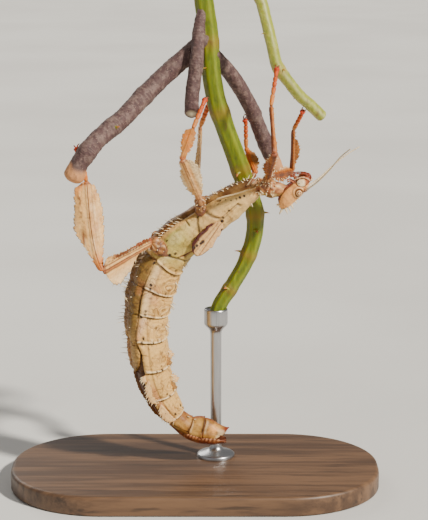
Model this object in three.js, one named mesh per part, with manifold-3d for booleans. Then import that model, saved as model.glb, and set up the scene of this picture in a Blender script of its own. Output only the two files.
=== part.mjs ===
// A giant prickly stick insect, an adult female at life size, hanging under bramble stems.
//
// Millimetres, +Z up.  The animal's plane of symmetry is y = 0, its left side faces -Y, its head
// points to +X and its back is turned down, because it hangs by its feet.  The origin is the centre
// of the underside of the display base.
//
// Every sub-part is one closed solid in a mesh of its own name.  Neighbours stay GAP apart.

import * as THREE from "three";
import { mergeVertices } from "three/addons/utils/BufferGeometryUtils.js";
import Module from "manifold-3d";

const wasm = await Module();
wasm.setup();

// ---------------------------------------------------------------- driving dimensions

const GAP = 0.3; // clear space between two pieces that meet
const LEAF = 0.7; // thickness of the leaf-like lobes on the legs and body
const TOOTH = 0.6; // depth of the saw teeth along those lobes
// Faces round each kind of round piece.
const SIDES = {
  trunk: 16, head: 12, operculum: 8, coxa: 8, stem: 7, leg: 6, foot: 5, feeler: 5, palp: 4, spine: 3,
};

const BASE = { length: 116, depth: 66, thick: 6, corner: 30, chamfer: 1.2 };
const TAIL_CLEARANCE = 6.2; // from the top of the base to the lowest point of the tail
const TAIL_LOW = 18.2; // height of that point in the animal's own frame

const ROD = { radius: 1.75, foot: 6, footThick: 1.6, cup: 3.75, cupDeep: 4 };
const CANE_FOOT = { x: 6.6, y: 8, z: 57 }; // where the cane's lower cut end sits in the rod's cup
const CANE_RADIUS = 2.8;

// The trunk from the neck to the tail.  Each station is a cross-section at (x, z) in the plane of
// symmetry: its depth from belly to back, its width from side to side, and how far down that depth,
// counted from the back, its widest line lies.  A named station begins a sub-part of that name.
const TRUNK = [
  { begins: "prothorax", x: 27.6, z: 100.2, depth: 3.8, width: 3.6, widest: 0.5 },
  { x: 23.4, z: 100.4, depth: 5.2, width: 5.2, widest: 0.5 },
  { begins: "mesothorax", x: 19.4, z: 100.8, depth: 6.4, width: 5.4, widest: 0.5 },
  { x: 10.6, z: 95.7, depth: 10.2, width: 7.0, widest: 0.55 },
  { begins: "metathorax", x: 0.9, z: 88.9, depth: 12.0, width: 10.0, widest: 0.6 },
  { x: -5.2, z: 84.0, depth: 13.0, width: 11.6, widest: 0.6 },
  { begins: "abdomen_2", x: -10.3, z: 77.4, depth: 14.2, width: 12.4, widest: 0.62 },
  { begins: "abdomen_3", x: -13.5, z: 68.7, depth: 14.4, width: 13.8, widest: 0.64 },
  { begins: "abdomen_4", x: -15.0, z: 60.4, depth: 13.2, width: 16.4, widest: 0.64 },
  { begins: "abdomen_5", x: -14.7, z: 52.2, depth: 12.1, width: 18.2, widest: 0.64 },
  { begins: "abdomen_6", x: -13.3, z: 42.0, depth: 11.6, width: 17.4, widest: 0.64 },
  { begins: "abdomen_7", x: -10.2, z: 33.4, depth: 9.9, width: 13.6, widest: 0.62 },
  { begins: "abdomen_8", x: -5.7, z: 27.2, depth: 6.4, width: 8.6, widest: 0.6 },
  { begins: "abdomen_9", x: -1.6, z: 24.8, depth: 5.4, width: 7.2, widest: 0.6 },
  { begins: "abdomen_10", x: 2.6, z: 24.4, depth: 5.6, width: 6.4, widest: 0.55 },
  { x: 9.4, z: 23.1, depth: 3.0, width: 4.2, widest: 0.5 },
];

// The head is a tall rounded cone.  Its long axis runs from the crown to the mouth.  Each station
// says how far along the axis it lies and how far the brow, nape and cheek stand from that axis.
const HEAD = { centre: [30.3, 0, 99.7], axis: [0.618, 0, 0.786] };
const HEAD_STATIONS = [
  { along: -6.6, brow: 0.5, nape: 0.2, cheek: 0.5 },
  { along: -5.9, brow: 1.3, nape: 0.9, cheek: 1.4 },
  { along: -4.7, brow: 2.0, nape: 2.1, cheek: 2.4 },
  { along: -2.9, brow: 2.4, nape: 2.8, cheek: 3.0 },
  { along: -0.8, brow: 2.7, nape: 2.8, cheek: 3.4 },
  { along: 1.2, brow: 2.9, nape: 2.3, cheek: 3.3 },
  { along: 3.4, brow: 2.8, nape: 1.7, cheek: 2.6 },
  { along: 5.2, brow: 2.4, nape: 1.2, cheek: 1.9 },
  { along: 6.3, brow: 1.2, nape: 0.5, cheek: 0.9 },
];
const EYE = { along: 1.0, brow: 1.3, left: 2.85, radius: 1.15 };

// ---------------------------------------------------------------- materials

const skin = (color, roughness = 0.62) =>
  new THREE.MeshStandardMaterial({ color, roughness, metalness: 0 });
const CREAM = skin(0xd9c39a);
const OLIVE_CREAM = skin(0xcdc497);
const ROSE = skin(0xb98a76);
const LOBE = skin(0xc69a6c);
const RUST = skin(0x8a4b2c);
const FOOT = skin(0xc8562a, 0.5);
const EYE_GLOSS = skin(0xc9a27c, 0.15);
const FEELER = skin(0xcbb08a);
const CANE = skin(0x8f9a3a, 0.7);
const TWIG = skin(0x7c5f58, 0.8);
const STEM = skin(0xb5b878, 0.7);
const WOOD = skin(0x4a3324, 0.5);
const METAL = new THREE.MeshStandardMaterial({ color: 0x8c8f92, roughness: 0.35, metalness: 1 });

// ---------------------------------------------------------------- solids

const point = (x, y, z) => new THREE.Vector3(x, y, z);
const mirrored = ([x, y, z]) => [x, -y, z];

// A closed three.js geometry as a manifold solid, and back again.
function solid(geometry) {
  const bare = geometry.clone();
  bare.deleteAttribute("normal");
  bare.deleteAttribute("uv");
  const merged = mergeVertices(bare, 1e-4);
  const vertProperties = new Float32Array(merged.attributes.position.array);
  const triVerts = new Uint32Array(merged.index.array);
  return new wasm.Manifold(new wasm.Mesh({ numProp: 3, vertProperties, triVerts }));
}

function geometryOf(body) {
  const mesh = body.getMesh();
  const geometry = new THREE.BufferGeometry();
  geometry.setAttribute("position", new THREE.BufferAttribute(mesh.vertProperties, 3));
  geometry.setIndex(new THREE.BufferAttribute(mesh.triVerts, 1));
  geometry.computeVertexNormals();
  return geometry;
}

const joined = (first, others) => others.reduce((whole, piece) => whole.add(piece), first);

// What is left of a body once its grown neighbours are cut away, without the crumbs.
function carved(body, neighbours) {
  const left = neighbours.reduce((rest, grown) => rest.subtract(grown), body);
  return left.decompose().reduce((most, part) => (part.volume() > most.volume() ? part : most));
}

// A cylinder laid along an axis.  frameAt(t) gives its centre and two directions across it, and
// section(t, angle) how far the surface stands from the centre in those two directions.
function loft(sides, rings, frameAt, section) {
  const geometry = new THREE.CylinderGeometry(1, 1, 1, sides, rings);
  const corner = geometry.attributes.position;
  for (let i = 0; i < corner.count; i++) {
    const t = corner.getY(i) + 0.5;
    const angle = Math.atan2(corner.getZ(i), corner.getX(i));
    const inner = Math.hypot(corner.getX(i), corner.getZ(i)) < 0.5;
    const { centre, across, up } = frameAt(t);
    const [a, b] = inner ? [0, 0] : section(t, angle);
    const spot = centre.clone().addScaledVector(across, a).addScaledVector(up, b);
    corner.setXYZ(i, spot.x, spot.y, spot.z);
  }
  return solid(geometry);
}

// Frames along a curve whose first direction across stays square to the given one.
function curveFrame(curve, reference) {
  return (t) => {
    const along = curve.getTangent(t);
    const across = along.clone().cross(reference).normalize();
    const up = across.clone().cross(along);
    return { centre: curve.getPoint(t), across, up };
  };
}

// A round tube along a curve, with a radius that may change on the way.
function tube(curve, radiusAt, sides, rings, reference = point(0, 1, 0)) {
  return loft(sides, rings, curveFrame(curve, reference), (t, angle) => {
    const radius = radiusAt(t);
    return [radius * Math.cos(angle), radius * Math.sin(angle)];
  });
}

const route = (points) =>
  new THREE.CatmullRomCurve3(points.map((p) => point(...p)), false, "centripetal");

// A thin cone that stands at a point and leans along a direction, with its foot sunk in the body.
function spine(foot, direction, length, thick) {
  const sink = thick;
  const geometry = new THREE.ConeGeometry(thick / 2, length + sink, SIDES.spine);
  geometry.translate(0, (length - sink) / 2, 0);
  const turn = new THREE.Quaternion().setFromUnitVectors(point(0, 1, 0), direction);
  geometry.applyQuaternion(turn);
  geometry.translate(foot.x, foot.y, foot.z);
  return solid(geometry);
}

// ---------------------------------------------------------------- scene

const display = new THREE.Group();
const specimen = new THREE.Group(); // the animal and the stems that it grips
specimen.position.z = BASE.thick + TAIL_CLEARANCE - TAIL_LOW;
display.add(specimen);

function place(group, name, body, material) {
  const mesh = new THREE.Mesh(geometryOf(body), material);
  mesh.name = name;
  group.add(mesh);
}

// ---------------------------------------------------------------- trunk

const LAST = TRUNK.length - 1;
const trunkAxis = new THREE.CatmullRomCurve3(TRUNK.map((s) => point(s.x, 0, s.z)));
const trunkSizes = new THREE.CatmullRomCurve3(
  TRUNK.map((s) => point(s.depth, s.width, 10 * s.widest)),
);
const LEFT = point(0, -1, 0);

// The cross-section at a station number, which may lie between two stations.
function trunkAt(station) {
  const t = station / LAST;
  const along = trunkAxis.getTangent(t);
  const sizes = trunkSizes.getPoint(t);
  return {
    centre: trunkAxis.getPoint(t),
    along,
    across: LEFT,
    up: LEFT.clone().cross(along), // towards the animal's back
    depth: sizes.x,
    width: sizes.y,
    widest: sizes.z / 10,
  };
}

// How far the surface stands from the axis: a belly and a back that meet at the widest line.
function trunkSection(cut, angle, grow) {
  const rise = Math.sin(angle);
  const line = cut.depth * (0.5 - cut.widest);
  const reach = rise > 0 ? cut.depth * cut.widest : cut.depth * (1 - cut.widest);
  const a = (cut.width / 2 + grow) * Math.cos(angle);
  const b = line + (reach + grow) * Math.sign(rise) * Math.abs(rise) ** 0.92;
  return [a, b];
}

// A point on the trunk's surface at an angle counted from the left side towards the back, and the
// direction out of it, leaning back towards the tail by the given share.
function onTrunk(station, degrees, lean = 0) {
  const cut = trunkAt(station);
  const [a, b] = trunkSection(cut, THREE.MathUtils.degToRad(degrees), 0);
  const foot = cut.centre.clone().addScaledVector(cut.across, a).addScaledVector(cut.up, b);
  const out = foot.clone().sub(cut.centre).normalize().addScaledVector(cut.along, lean).normalize();
  return { foot, out };
}

// One length of the trunk between two stations, cut square to the axis at both ends.
function trunkLength(from, to, rings, grow = 0) {
  const speed = (station) => {
    const step = 0.01;
    const low = Math.max(0, station - step);
    const high = Math.min(LAST, station + step);
    return trunkAt(low).centre.distanceTo(trunkAt(high).centre) / (high - low);
  };
  const trim = GAP / 2 - grow;
  const start = from + trim / speed(from);
  const end = to - trim / speed(to);
  const station = (t) => THREE.MathUtils.clamp(start + (end - start) * t, 0, LAST);
  const swell = (t) => 0.97 + 0.05 * Math.sin(Math.PI * t); // each length is fuller in its middle
  const section = (t, angle) => {
    const [a, b] = trunkSection(trunkAt(station(t)), angle, grow);
    return [a * swell(t), b * swell(t)];
  };
  return loft(SIDES.trunk, rings, (t) => trunkAt(station(t)), section);
}

// Spines of the trunk, by sub-part: where along it, at what angles on the left side, how long, how
// thick and how far they lean back.  Each one has its like on the right side.
const TRUNK_SPINES = {
  prothorax: [
    { at: [0.6, 0.85], angles: [45], length: 1.5, thick: 0.7, lean: 0.1 },
  ],
  mesothorax: [
    { at: [0.08, 0.22, 0.38, 0.58], angles: [-56], length: 1.5, thick: 0.7, lean: 0.2 },
    { at: [0.14, 0.6], angles: [64], length: 1.4, thick: 0.7, lean: -0.2 },
  ],
  metathorax: [
    { at: [0.25, 0.5, 0.75], angles: [-58], length: 1.6, thick: 0.7, lean: 0.3 },
    { at: [0.85], angles: [58], length: 1.5, thick: 0.7, lean: 0.4 },
  ],
  abdomen_2: [
    { at: [0.3, 0.75], angles: [-60], length: 2.0, thick: 0.75, lean: 0.1 },
    { at: [0.5], angles: [70], length: 1.5, thick: 0.8, lean: 0.5 },
  ],
  abdomen_3: [
    { at: [0.2, 0.5, 0.8], angles: [-60], length: 2.1, thick: 0.75, lean: 0.1 },
    { at: [0.45], angles: [74], length: 1.9, thick: 0.9, lean: 0.4 },
  ],
  abdomen_4: [
    { at: [0.2, 0.55, 0.9], angles: [-62], length: 1.7, thick: 0.75, lean: 0.1 },
    { at: [0.55], angles: [74], length: 2.3, thick: 1.5, lean: 0.5 },
  ],
  abdomen_5: [
    { at: [0.3, 0.62], angles: [-62], length: 1.4, thick: 0.75, lean: 0.2 },
    { at: [0.92], angles: [-72], length: 1.9, thick: 1.1, lean: 2.4 },
    { at: [0.55, 0.74], angles: [74], length: 2.8, thick: 1.7, lean: 0.5 },
  ],
  abdomen_6: [
    { at: [0.14], angles: [-44], length: 1.7, thick: 0.9, lean: 0.4 },
    { at: [0.3, 0.55], angles: [72], length: 2.7, thick: 1.6, lean: 0.6 },
  ],
  abdomen_7: [
    { at: [0.5], angles: [68], length: 1.6, thick: 1.1, lean: 0.9 },
  ],
  abdomen_8: [
    { at: [0.6], angles: [62], length: 0.9, thick: 0.8, lean: 1.0 },
  ],
};

function trunkSpines(name, from, to) {
  const rows = TRUNK_SPINES[name] ?? [];
  return rows.flatMap(({ at, angles, length, thick, lean }) =>
    at.flatMap((share) =>
      angles.flatMap((angle) =>
        [angle, 180 - angle].map((side) => {
          const { foot, out } = onTrunk(from + share * (to - from), side, lean);
          return spine(foot, out, length, thick);
        }),
      ),
    ),
  );
}

// Leaf-like flaps along the widest line of the abdomen, one on each side.
const FLAPS = {
  abdomen_5: { from: 0.45, to: 0.97, width: 2.2, teeth: 4 },
  abdomen_6: { from: 0.08, to: 0.95, width: 3.4, teeth: 6 },
  abdomen_7: { from: 0.08, to: 0.92, width: 2.8, teeth: 5 },
};

// The outline of a toothed lobe: a straight root along X and a saw-toothed edge that stands out in
// Y to its full width at the peak, a share of its length.
function lobeOutline({ length, width, teeth, peak = 0.5, fill = 0.6 }, root) {
  const envelope = (s) => {
    const side = s < peak ? s / peak : (1 - s) / (1 - peak);
    return width * Math.sin((Math.PI / 2) * side) ** fill;
  };
  const shape = new THREE.Shape();
  shape.moveTo(0, -root);
  for (let i = 0; i < teeth; i++) {
    const valley = (i + 0.25) / teeth;
    const tip = (i + 0.85) / teeth;
    const floor = envelope(valley);
    shape.lineTo(length * valley, Math.max(floor - TOOTH, floor / 2));
    shape.lineTo(length * tip, envelope(tip));
  }
  shape.lineTo(length, -root);
  return shape;
}

// A flat lobe as a plate, laid with its root along one direction and its width along another.
function lobePlate(outline, origin, along, outward, thick) {
  const geometry = new THREE.ExtrudeGeometry(outline, { depth: thick, bevelEnabled: false });
  geometry.translate(0, 0, -thick / 2);
  const x = along.clone().normalize();
  const z = x.clone().cross(outward).normalize();
  const y = z.clone().cross(x);
  geometry.applyMatrix4(new THREE.Matrix4().makeBasis(x, y, z).setPosition(origin));
  return solid(geometry);
}

function flaps(name, from, to) {
  const flap = FLAPS[name];
  if (!flap) return [];
  const first = trunkAt(from + flap.from * (to - from));
  const last = trunkAt(from + flap.to * (to - from));
  return [1, -1].map((side) => {
    const edge = (cut) =>
      cut.centre
        .clone()
        .addScaledVector(LEFT, side * (cut.width / 2 - 0.6))
        .addScaledVector(cut.up, cut.depth * (0.5 - cut.widest));
    const start = edge(first);
    const run = edge(last).sub(start);
    const outline = lobeOutline({ length: run.length(), peak: 0.6, ...flap }, 0.4);
    const outward = LEFT.clone().multiplyScalar(side).addScaledVector(first.up, -0.25);
    return lobePlate(outline, start, run, outward, LEAF);
  });
}

const borders = TRUNK.map((s, i) => ({ name: s.begins, from: i })).filter((b) => b.name);
borders.forEach((b, i) => {
  b.to = borders[i + 1]?.from ?? LAST;
  b.rings = 2 * (b.to - b.from);
});
const trunkGrown = Object.fromEntries(
  borders.map((b) => [b.name, () => trunkLength(b.from, b.to, b.rings, GAP)]),
);

const trunkBodies = new Map();
for (const { name, from, to, rings } of borders) {
  const bare = trunkLength(from, to, rings);
  const neighbours = borders.filter((b) => b.to === from || b.from === to);
  const growths = [...trunkSpines(name, from, to), ...flaps(name, from, to)].map((growth) =>
    carved(growth, neighbours.map((b) => trunkGrown[b.name]())),
  );
  trunkBodies.set(name, joined(bare, growths));
}

// The free plate under the end of the abdomen: a shallow boat that ends in two points.
const OPERCULUM = [
  { x: -8.6, z: 24.6, depth: 1.6, width: 6.4 },
  { x: -5.4, z: 22.7, depth: 2.6, width: 6.6 },
  { x: -1.6, z: 20.5, depth: 2.6, width: 6.0 },
  { x: 3.6, z: 19.6, depth: 2.4, width: 4.8 },
  { x: 9.6, z: 19.3, depth: 0.9, width: 2.0 },
];
function operculum() {
  const axis = new THREE.CatmullRomCurve3(OPERCULUM.map((s) => point(s.x, 0, s.z)));
  const sizes = new THREE.CatmullRomCurve3(OPERCULUM.map((s) => point(s.depth, s.width, 0)));
  const frameAt = (t) => {
    const up = LEFT.clone().cross(axis.getTangent(t));
    return { centre: axis.getPoint(t), across: LEFT, up };
  };
  const body = loft(SIDES.operculum, 6, frameAt, (t, angle) => {
    const { x: depth, y: width } = sizes.getPoint(t);
    return [(width / 2) * Math.cos(angle), (depth / 2) * Math.sin(angle)];
  });
  const above = ["abdomen_7", "abdomen_8", "abdomen_9", "abdomen_10"];
  return carved(body, above.map((name) => trunkGrown[name]()));
}

// ---------------------------------------------------------------- head

const headCentre = point(...HEAD.centre);
const headAxis = point(...HEAD.axis).normalize();
const browWay = headAxis.clone().cross(LEFT); // out of the face, square to the axis
const headSizes = new THREE.CatmullRomCurve3(
  HEAD_STATIONS.map((s) => point(s.brow, s.nape, s.cheek)),
);
const headAlongs = new THREE.CatmullRomCurve3(HEAD_STATIONS.map((s) => point(s.along, 0, 0)));

function headAt(t) {
  const { x: brow, y: nape, z: cheek } = headSizes.getPoint(t);
  return { along: headAlongs.getPoint(t).x, brow, nape, cheek };
}

// A place in the head's own frame: along its axis, out of the face, and out of the left cheek.
function onHead(along, brow, left) {
  return headCentre
    .clone()
    .addScaledVector(headAxis, along)
    .addScaledVector(browWay, brow)
    .addScaledVector(LEFT, left);
}

const middleOf = ({ brow, nape }) => (brow - nape) / 2;

function headBody(grow = 0) {
  const frameAt = (t) => ({
    centre: onHead(headAt(t).along + (t < 0.5 ? -grow : grow), middleOf(headAt(t)), 0),
    across: LEFT.clone().negate(),
    up: browWay,
  });
  return loft(SIDES.head, 9, frameAt, (t, angle) => {
    const { brow, nape, cheek } = headAt(t);
    const half = (brow + nape) / 2;
    return [(cheek + grow) * Math.cos(angle), (half + grow) * Math.sin(angle)];
  });
}
// Spines on the crown, in pairs that spread from its top, and one short pair on the nape.
const CROWN_SPINES = [
  { along: -6.1, brow: -0.2, left: 0.5, lean: [-1.0, -0.4, 0.35], length: 1.9 },
  { along: -5.7, brow: 1.1, left: 0.9, lean: [-1.0, 0.3, 0.6], length: 1.7 },
  { along: -4.6, brow: 1.8, left: 1.3, lean: [-0.8, 0.9, 0.7], length: 1.6 },
  { along: -4.7, brow: -1.6, left: 1.2, lean: [-0.6, -0.9, 0.7], length: 1.4 },
];
function crownSpines() {
  return CROWN_SPINES.flatMap(({ along, brow, left, lean, length }) =>
    [1, -1].map((side) => {
      const [a, b, c] = lean;
      const way = headAxis
        .clone()
        .multiplyScalar(a)
        .addScaledVector(browWay, b)
        .addScaledVector(LEFT, side * c)
        .normalize();
      return spine(onHead(along, brow, side * left), way, length, 0.8);
    }),
  );
}

function eyeBody(side, grow = 0) {
  const geometry = new THREE.SphereGeometry(EYE.radius + grow, 9, 6);
  geometry.scale(1, 0.75, 1);
  const seat = onHead(EYE.along, EYE.brow, side * EYE.left);
  geometry.translate(seat.x, seat.y, seat.z);
  return solid(geometry);
}

// The palps and jaws at the open end of the head: a short block with two pairs of feelers.
const PALPS = [
  [[5.0, 0.9, 0.9], [6.9, 0.9, 1.3], [6.6, -0.9, 1.7], [5.0, -2.4, 1.9]],
  [[5.0, -0.6, 0.5], [5.9, -1.6, 0.8], [4.4, -2.9, 0.9]],
];
function mouthBody() {
  const block = new THREE.SphereGeometry(1, 8, 5);
  block.scale(1.5, 2.0, 1.5);
  const seat = onHead(5.7, 0.3, 0);
  block.translate(seat.x, seat.y, seat.z);
  const palps = [1, -1].flatMap((side) =>
    PALPS.map((spots) => {
      const curve = route(spots.map(([a, b, c]) => onHead(a, b, side * c).toArray()));
      return tube(curve, (t) => 0.5 - 0.15 * t, SIDES.palp, 3);
    }),
  );
  return joined(solid(block), palps);
}

// A feeler: a thin beaded whip that starts between the eye and the mouth.
const FEELERS = {
  left: [
    [33.6, -2.1, 99.9], [37.3, -5, 103.2], [41.1, -8, 107.7], [44.1, -10.5, 111.9],
    [46.9, -13, 114.8],
  ],
  right: [
    [33.6, 2.1, 99.9], [37.9, 4.5, 102.4], [42.8, 7, 106.4], [47.2, 9, 109.6],
    [51.4, 11, 111.8],
  ],
};
function feeler(side) {
  const curve = route(FEELERS[side]);
  return tube(curve, (t) => (t < 0.08 ? 0.55 : 0.4 - 0.12 * t), SIDES.feeler, 9);
}

// ---------------------------------------------------------------- wings

// The short fore wings lie over the back behind the middle legs like two small leaves.
const TEGMEN = { width: 2.7, thick: LEAF };
const TEGMEN_ROOT = [8.2, -4.3, 91.4];
const TEGMEN_TIP = [0.2, -5.6, 81.0];
function tegmen(side) {
  const root = point(...TEGMEN_ROOT);
  const tip = point(...TEGMEN_TIP);
  root.y *= side;
  tip.y *= side;
  const along = tip.clone().sub(root);
  const outward = point(0.8, -0.35 * side, -0.5);
  const halves = [1, -1].map((edge) => {
    const outline = lobeOutline(
      { length: along.length(), width: TEGMEN.width * (edge > 0 ? 1 : 0.75), teeth: 4, peak: 0.45 },
      0.2,
    );
    return lobePlate(outline, root, along, outward.clone().multiplyScalar(edge), TEGMEN.thick);
  });
  const midrib = tube(route([root.toArray(), tip.toArray()]), (t) => 0.7 - 0.3 * t, SIDES.palp, 1);
  return joined(midrib, halves);
}

// ---------------------------------------------------------------- stems

// The bramble stems, as routes from the cut or upper end, with their thickness.
const STEMS = {
  perch_cane: {
    route: [
      [2.3, 8, 164], [2.9, 8, 157.4], [4.2, 7.5, 148.5], [5.1, 6.2, 136.5], [6.6, 5.6, 127.4],
      [9.7, 6.2, 117.8], [12.6, 7.4, 109.8], [15.8, 8.8, 100.2], [18.8, 10, 91],
      [18.4, 10.6, 82.5], [15.6, 10.4, 74.5], [11.6, 9.6, 67.6], [7.8, 8.6, 61.6],
      [CANE_FOOT.x, CANE_FOOT.y, CANE_FOOT.z],
    ],
    radius: (t) => CANE_RADIUS - 0.6 * THREE.MathUtils.smoothstep(t, 0.5, 0.85),
    rings: 24,
    material: CANE,
  },
  perch_twig_hind: {
    route: [
      [-35.7, -17, 107.4], [-34.2, -17, 110.6], [-31.6, -17, 114.6], [-29.4, -15, 117.2],
      [-26.3, -12, 119.7], [-21.4, -8, 123.4], [-17.6, -4, 127.1], [-10.5, 1.5, 133.7],
      [-2.9, 5, 140.3], [4.4, 7.4, 146.4],
    ],
    radius: (t) => 2.9 + 0.5 * Math.exp(-((t / 0.05) ** 2)),
    rings: 14,
    material: TWIG,
    meets: ["perch_cane"],
  },
  perch_twig_mid: {
    route: [
      [-0.8, -2, 124.4], [-0.6, -1.8, 129.5], [0.2, -0.6, 135.5], [0.9, 0.4, 141.3],
      [1.2, 2, 145.7], [1.8, 5, 151.6], [2.8, 8, 156.9],
    ],
    radius: (t) => 2.25 - 0.9 * t ** 3,
    rings: 9,
    material: TWIG,
    meets: ["perch_cane", "perch_twig_hind"],
  },
  perch_twig_far: {
    route: [
      [26.4, 26.4, 101.4], [22.6, 24.4, 110.4], [19.2, 22.6, 119.0], [17.0, 20.4, 124],
      [11.6, 14, 133.5], [5.1, 6.6, 141.5],
    ],
    radius: () => 2.5,
    rings: 9,
    material: TWIG,
    meets: ["perch_cane", "perch_twig_hind"],
  },
  perch_stem_fore: {
    route: [
      [3.4, 8, 165.5], [8.6, 7, 166], [13.9, 5, 164.4], [19.3, 0, 159.6], [21.6, -3, 152.4],
      [23.4, -5, 145.1], [25.0, -5, 138.8], [29.0, -3, 133.1], [32.5, 1, 128.6],
      [35.2, 4, 126.1], [39.4, 6.6, 121.8],
    ],
    radius: () => 1.85,
    rings: 18,
    material: STEM,
    meets: ["perch_cane"],
  },
};

const stemCurve = (name) => route(STEMS[name].route);
function stemBody(name, grow = 0) {
  const { radius, rings } = STEMS[name];
  return tube(stemCurve(name), (t) => radius(t) + grow, SIDES.stem, rings);
}

// ---------------------------------------------------------------- legs

// A coxa pair sits at one place of the trunk.  Each leg then says where its hip, knee, ankle and
// toe are, which stem it grips, and which way the flat of its lobes stands out.
const COXAE = {
  fore: { root: [21.6, -1.6, 101.6], on: ["prothorax", "mesothorax"], radius: 1.35 },
  mid: { root: [3.2, -3.6, 92.6], on: ["mesothorax", "metathorax"], radius: 1.7 },
  hind: { root: [-9.2, -4.2, 82.0], on: ["metathorax", "abdomen_2"], radius: 2.2 },
};

const LEGS = {
  fore_left: {
    pair: "fore", hip: [22.4, -5.6, 104.6], knee: [23.9, -21, 114.6], ankle: [23.0, -13, 127.7],
    toe: [24.9, -7.9, 138.7], grips: ["perch_stem_fore"],
    femur: { facing: [1, 0.2, 0.1], lobes: [[0.12, 0.95, 2.3, 4, 0.6, 0], [0.15, 0.95, 2.0, 4, 0.6, 180]] },
    tibia: { facing: [1, 0, 0], lobes: [[0.05, 0.45, 1.2, 3, 0.4, 0], [0.5, 0.95, 0.9, 3, 0.6, 180]] },
  },
  fore_right: {
    pair: "fore", hip: [24.0, 5.6, 103.6], knee: [30.8, 20, 102.6], ankle: [30.6, 8.5, 117.4],
    toe: [33.6, 3.6, 124.4], grips: ["perch_stem_fore"],
    femur: { facing: [0, 0, 1], lobes: [[0.12, 0.95, 2.3, 4, 0.6, 0], [0.15, 0.95, 2.0, 4, 0.6, 180]] },
    tibia: { facing: [1, 0, 0], lobes: [[0.1, 0.85, 2.6, 5, 0.55, 0], [0.1, 0.5, 0.9, 2, 0.5, 180]] },
  },
  mid_left: {
    pair: "mid", hip: [1.7, -8, 98.4], knee: [-3.5, -20, 112.5], ankle: [-0.3, -9, 120.4],
    toe: [3.4, -0.6, 128.4], grips: ["perch_twig_mid", "perch_cane"],
    femur: { facing: [1, 0, 0.3], lobes: [[0.08, 0.97, 3.6, 5, 0.65, 0], [0.08, 0.97, 3.4, 5, 0.6, 180]] },
    tibia: { facing: [1, 0, -0.3], lobes: [[0.06, 0.85, 3.2, 4, 0.5, 0], [0.1, 0.7, 1.4, 3, 0.5, 180]] },
  },
  mid_right: {
    pair: "mid", hip: [3.6, 8.4, 95.4], knee: [19.2, 16, 102.4], ankle: [16.2, 22.4, 109.8],
    toe: [16.0, 20.8, 119.4], grips: ["perch_twig_far"],
    femur: { facing: [0, 1, -0.4], lobes: [[0.08, 0.97, 3.2, 5, 0.65, 0], [0.08, 0.97, 2.6, 5, 0.6, 180]] },
    tibia: { facing: [1, 0, 0.3], lobes: [[0.06, 0.9, 2.8, 4, 0.5, 0], [0.1, 0.8, 2.2, 3, 0.5, 180]] },
  },
  hind_left: {
    pair: "hind", hip: [-12.8, -9.4, 85.2], knee: [-27.1, -23, 79.5], ankle: [-32.3, -14, 105.2],
    toe: [-35.2, -13.2, 115.4], grips: ["perch_twig_hind"],
    femur: { facing: [-0.3, 0, -1], lobes: [[0.1, 0.98, 5.2, 6, 0.78, 0], [0.1, 0.96, 2.2, 6, 0.5, 180]] },
    tibia: { facing: [1, 0.1, 0], lobes: [[0.05, 0.96, 3.3, 7, 0.4, 0], [0.06, 0.97, 5.0, 7, 0.62, 180]] },
  },
  hind_right: {
    pair: "hind", hip: [-12.2, 9.4, 83.6], knee: [0.6, 24, 88.4], ankle: [1.8, 17.4, 117.4],
    toe: [5.0, 9.6, 127.0], grips: ["perch_cane"],
    femur: { facing: [0, 1, -0.5], lobes: [[0.1, 0.98, 4.6, 6, 0.78, 0], [0.1, 0.96, 2.0, 6, 0.5, 180]] },
    tibia: { facing: [0, 1, 0.2], lobes: [[0.05, 0.96, 4.6, 7, 0.62, 0], [0.06, 0.97, 3.3, 7, 0.4, 180]] },
  },
};

const SHAFTS = {
  fore: { femur: [1.0, 1.2], tibia: [1.0, 0.75], tarsus: 0.72 },
  mid: { femur: [1.1, 1.3], tibia: [1.05, 0.8], tarsus: 0.75 },
  hind: { femur: [1.3, 1.6], tibia: [1.3, 0.9], tarsus: 0.85 },
};

// One straight length of a leg: a shaft with lobes, each given as the share of the length where it
// starts and ends, its width, its teeth, where it is widest, and its turn about the shaft.
function legLength(from, to, [thickStart, thickEnd], facing, lobes, grow = 0) {
  const start = point(...from);
  const run = point(...to).sub(start);
  const along = run.clone().normalize();
  const sheer = along.clone().cross(point(...facing)).normalize();
  const outward = sheer.clone().cross(along);
  const first = start.clone().addScaledVector(along, GAP / 2 - grow);
  const last = start.clone().add(run).addScaledVector(along, grow - GAP / 2);
  const swell = (t) => 1 - 0.25 * Math.sin(Math.PI * t); // waisted, so hip and knee are thickest
  const shaft = tube(
    new THREE.LineCurve3(first, last),
    (t) => grow + swell(t) * THREE.MathUtils.lerp(thickStart, thickEnd, t),
    SIDES.leg,
    3,
    outward,
  );
  const plates = lobes.map(([begin, end, width, teeth, peak, turn]) => {
    const length = (end - begin) * run.length();
    const outline = lobeOutline({ length, width: width + grow, teeth, peak }, 0.3);
    const origin = start.clone().addScaledVector(run, begin);
    const way = outward.clone().applyAxisAngle(along, THREE.MathUtils.degToRad(turn));
    return lobePlate(outline, origin, along, way, LEAF + 2 * grow);
  });
  return joined(shaft, plates);
}

// The foot follows a line from the ankle to the toe that is pushed out of the stems it grips.
function footRoute(leg, thick) {
  const curves = leg.grips.map((name) => ({
    curve: stemCurve(name),
    reach: STEMS[name].radius(0.5) + thick + GAP,
  }));
  const steps = 6;
  const spots = [];
  for (let i = 0; i <= steps; i++) {
    const spot = point(...leg.ankle).lerp(point(...leg.toe), i / steps);
    for (const { curve, reach } of curves) {
      const near = curve
        .getSpacedPoints(120)
        .reduce((best, p) => (p.distanceTo(spot) < best.distanceTo(spot) ? p : best));
      const away = spot.clone().sub(near);
      if (away.length() < reach) spot.copy(near).addScaledVector(away.normalize(), reach);
    }
    spots.push(spot);
  }
  return new THREE.CatmullRomCurve3(spots, false, "centripetal");
}

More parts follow.
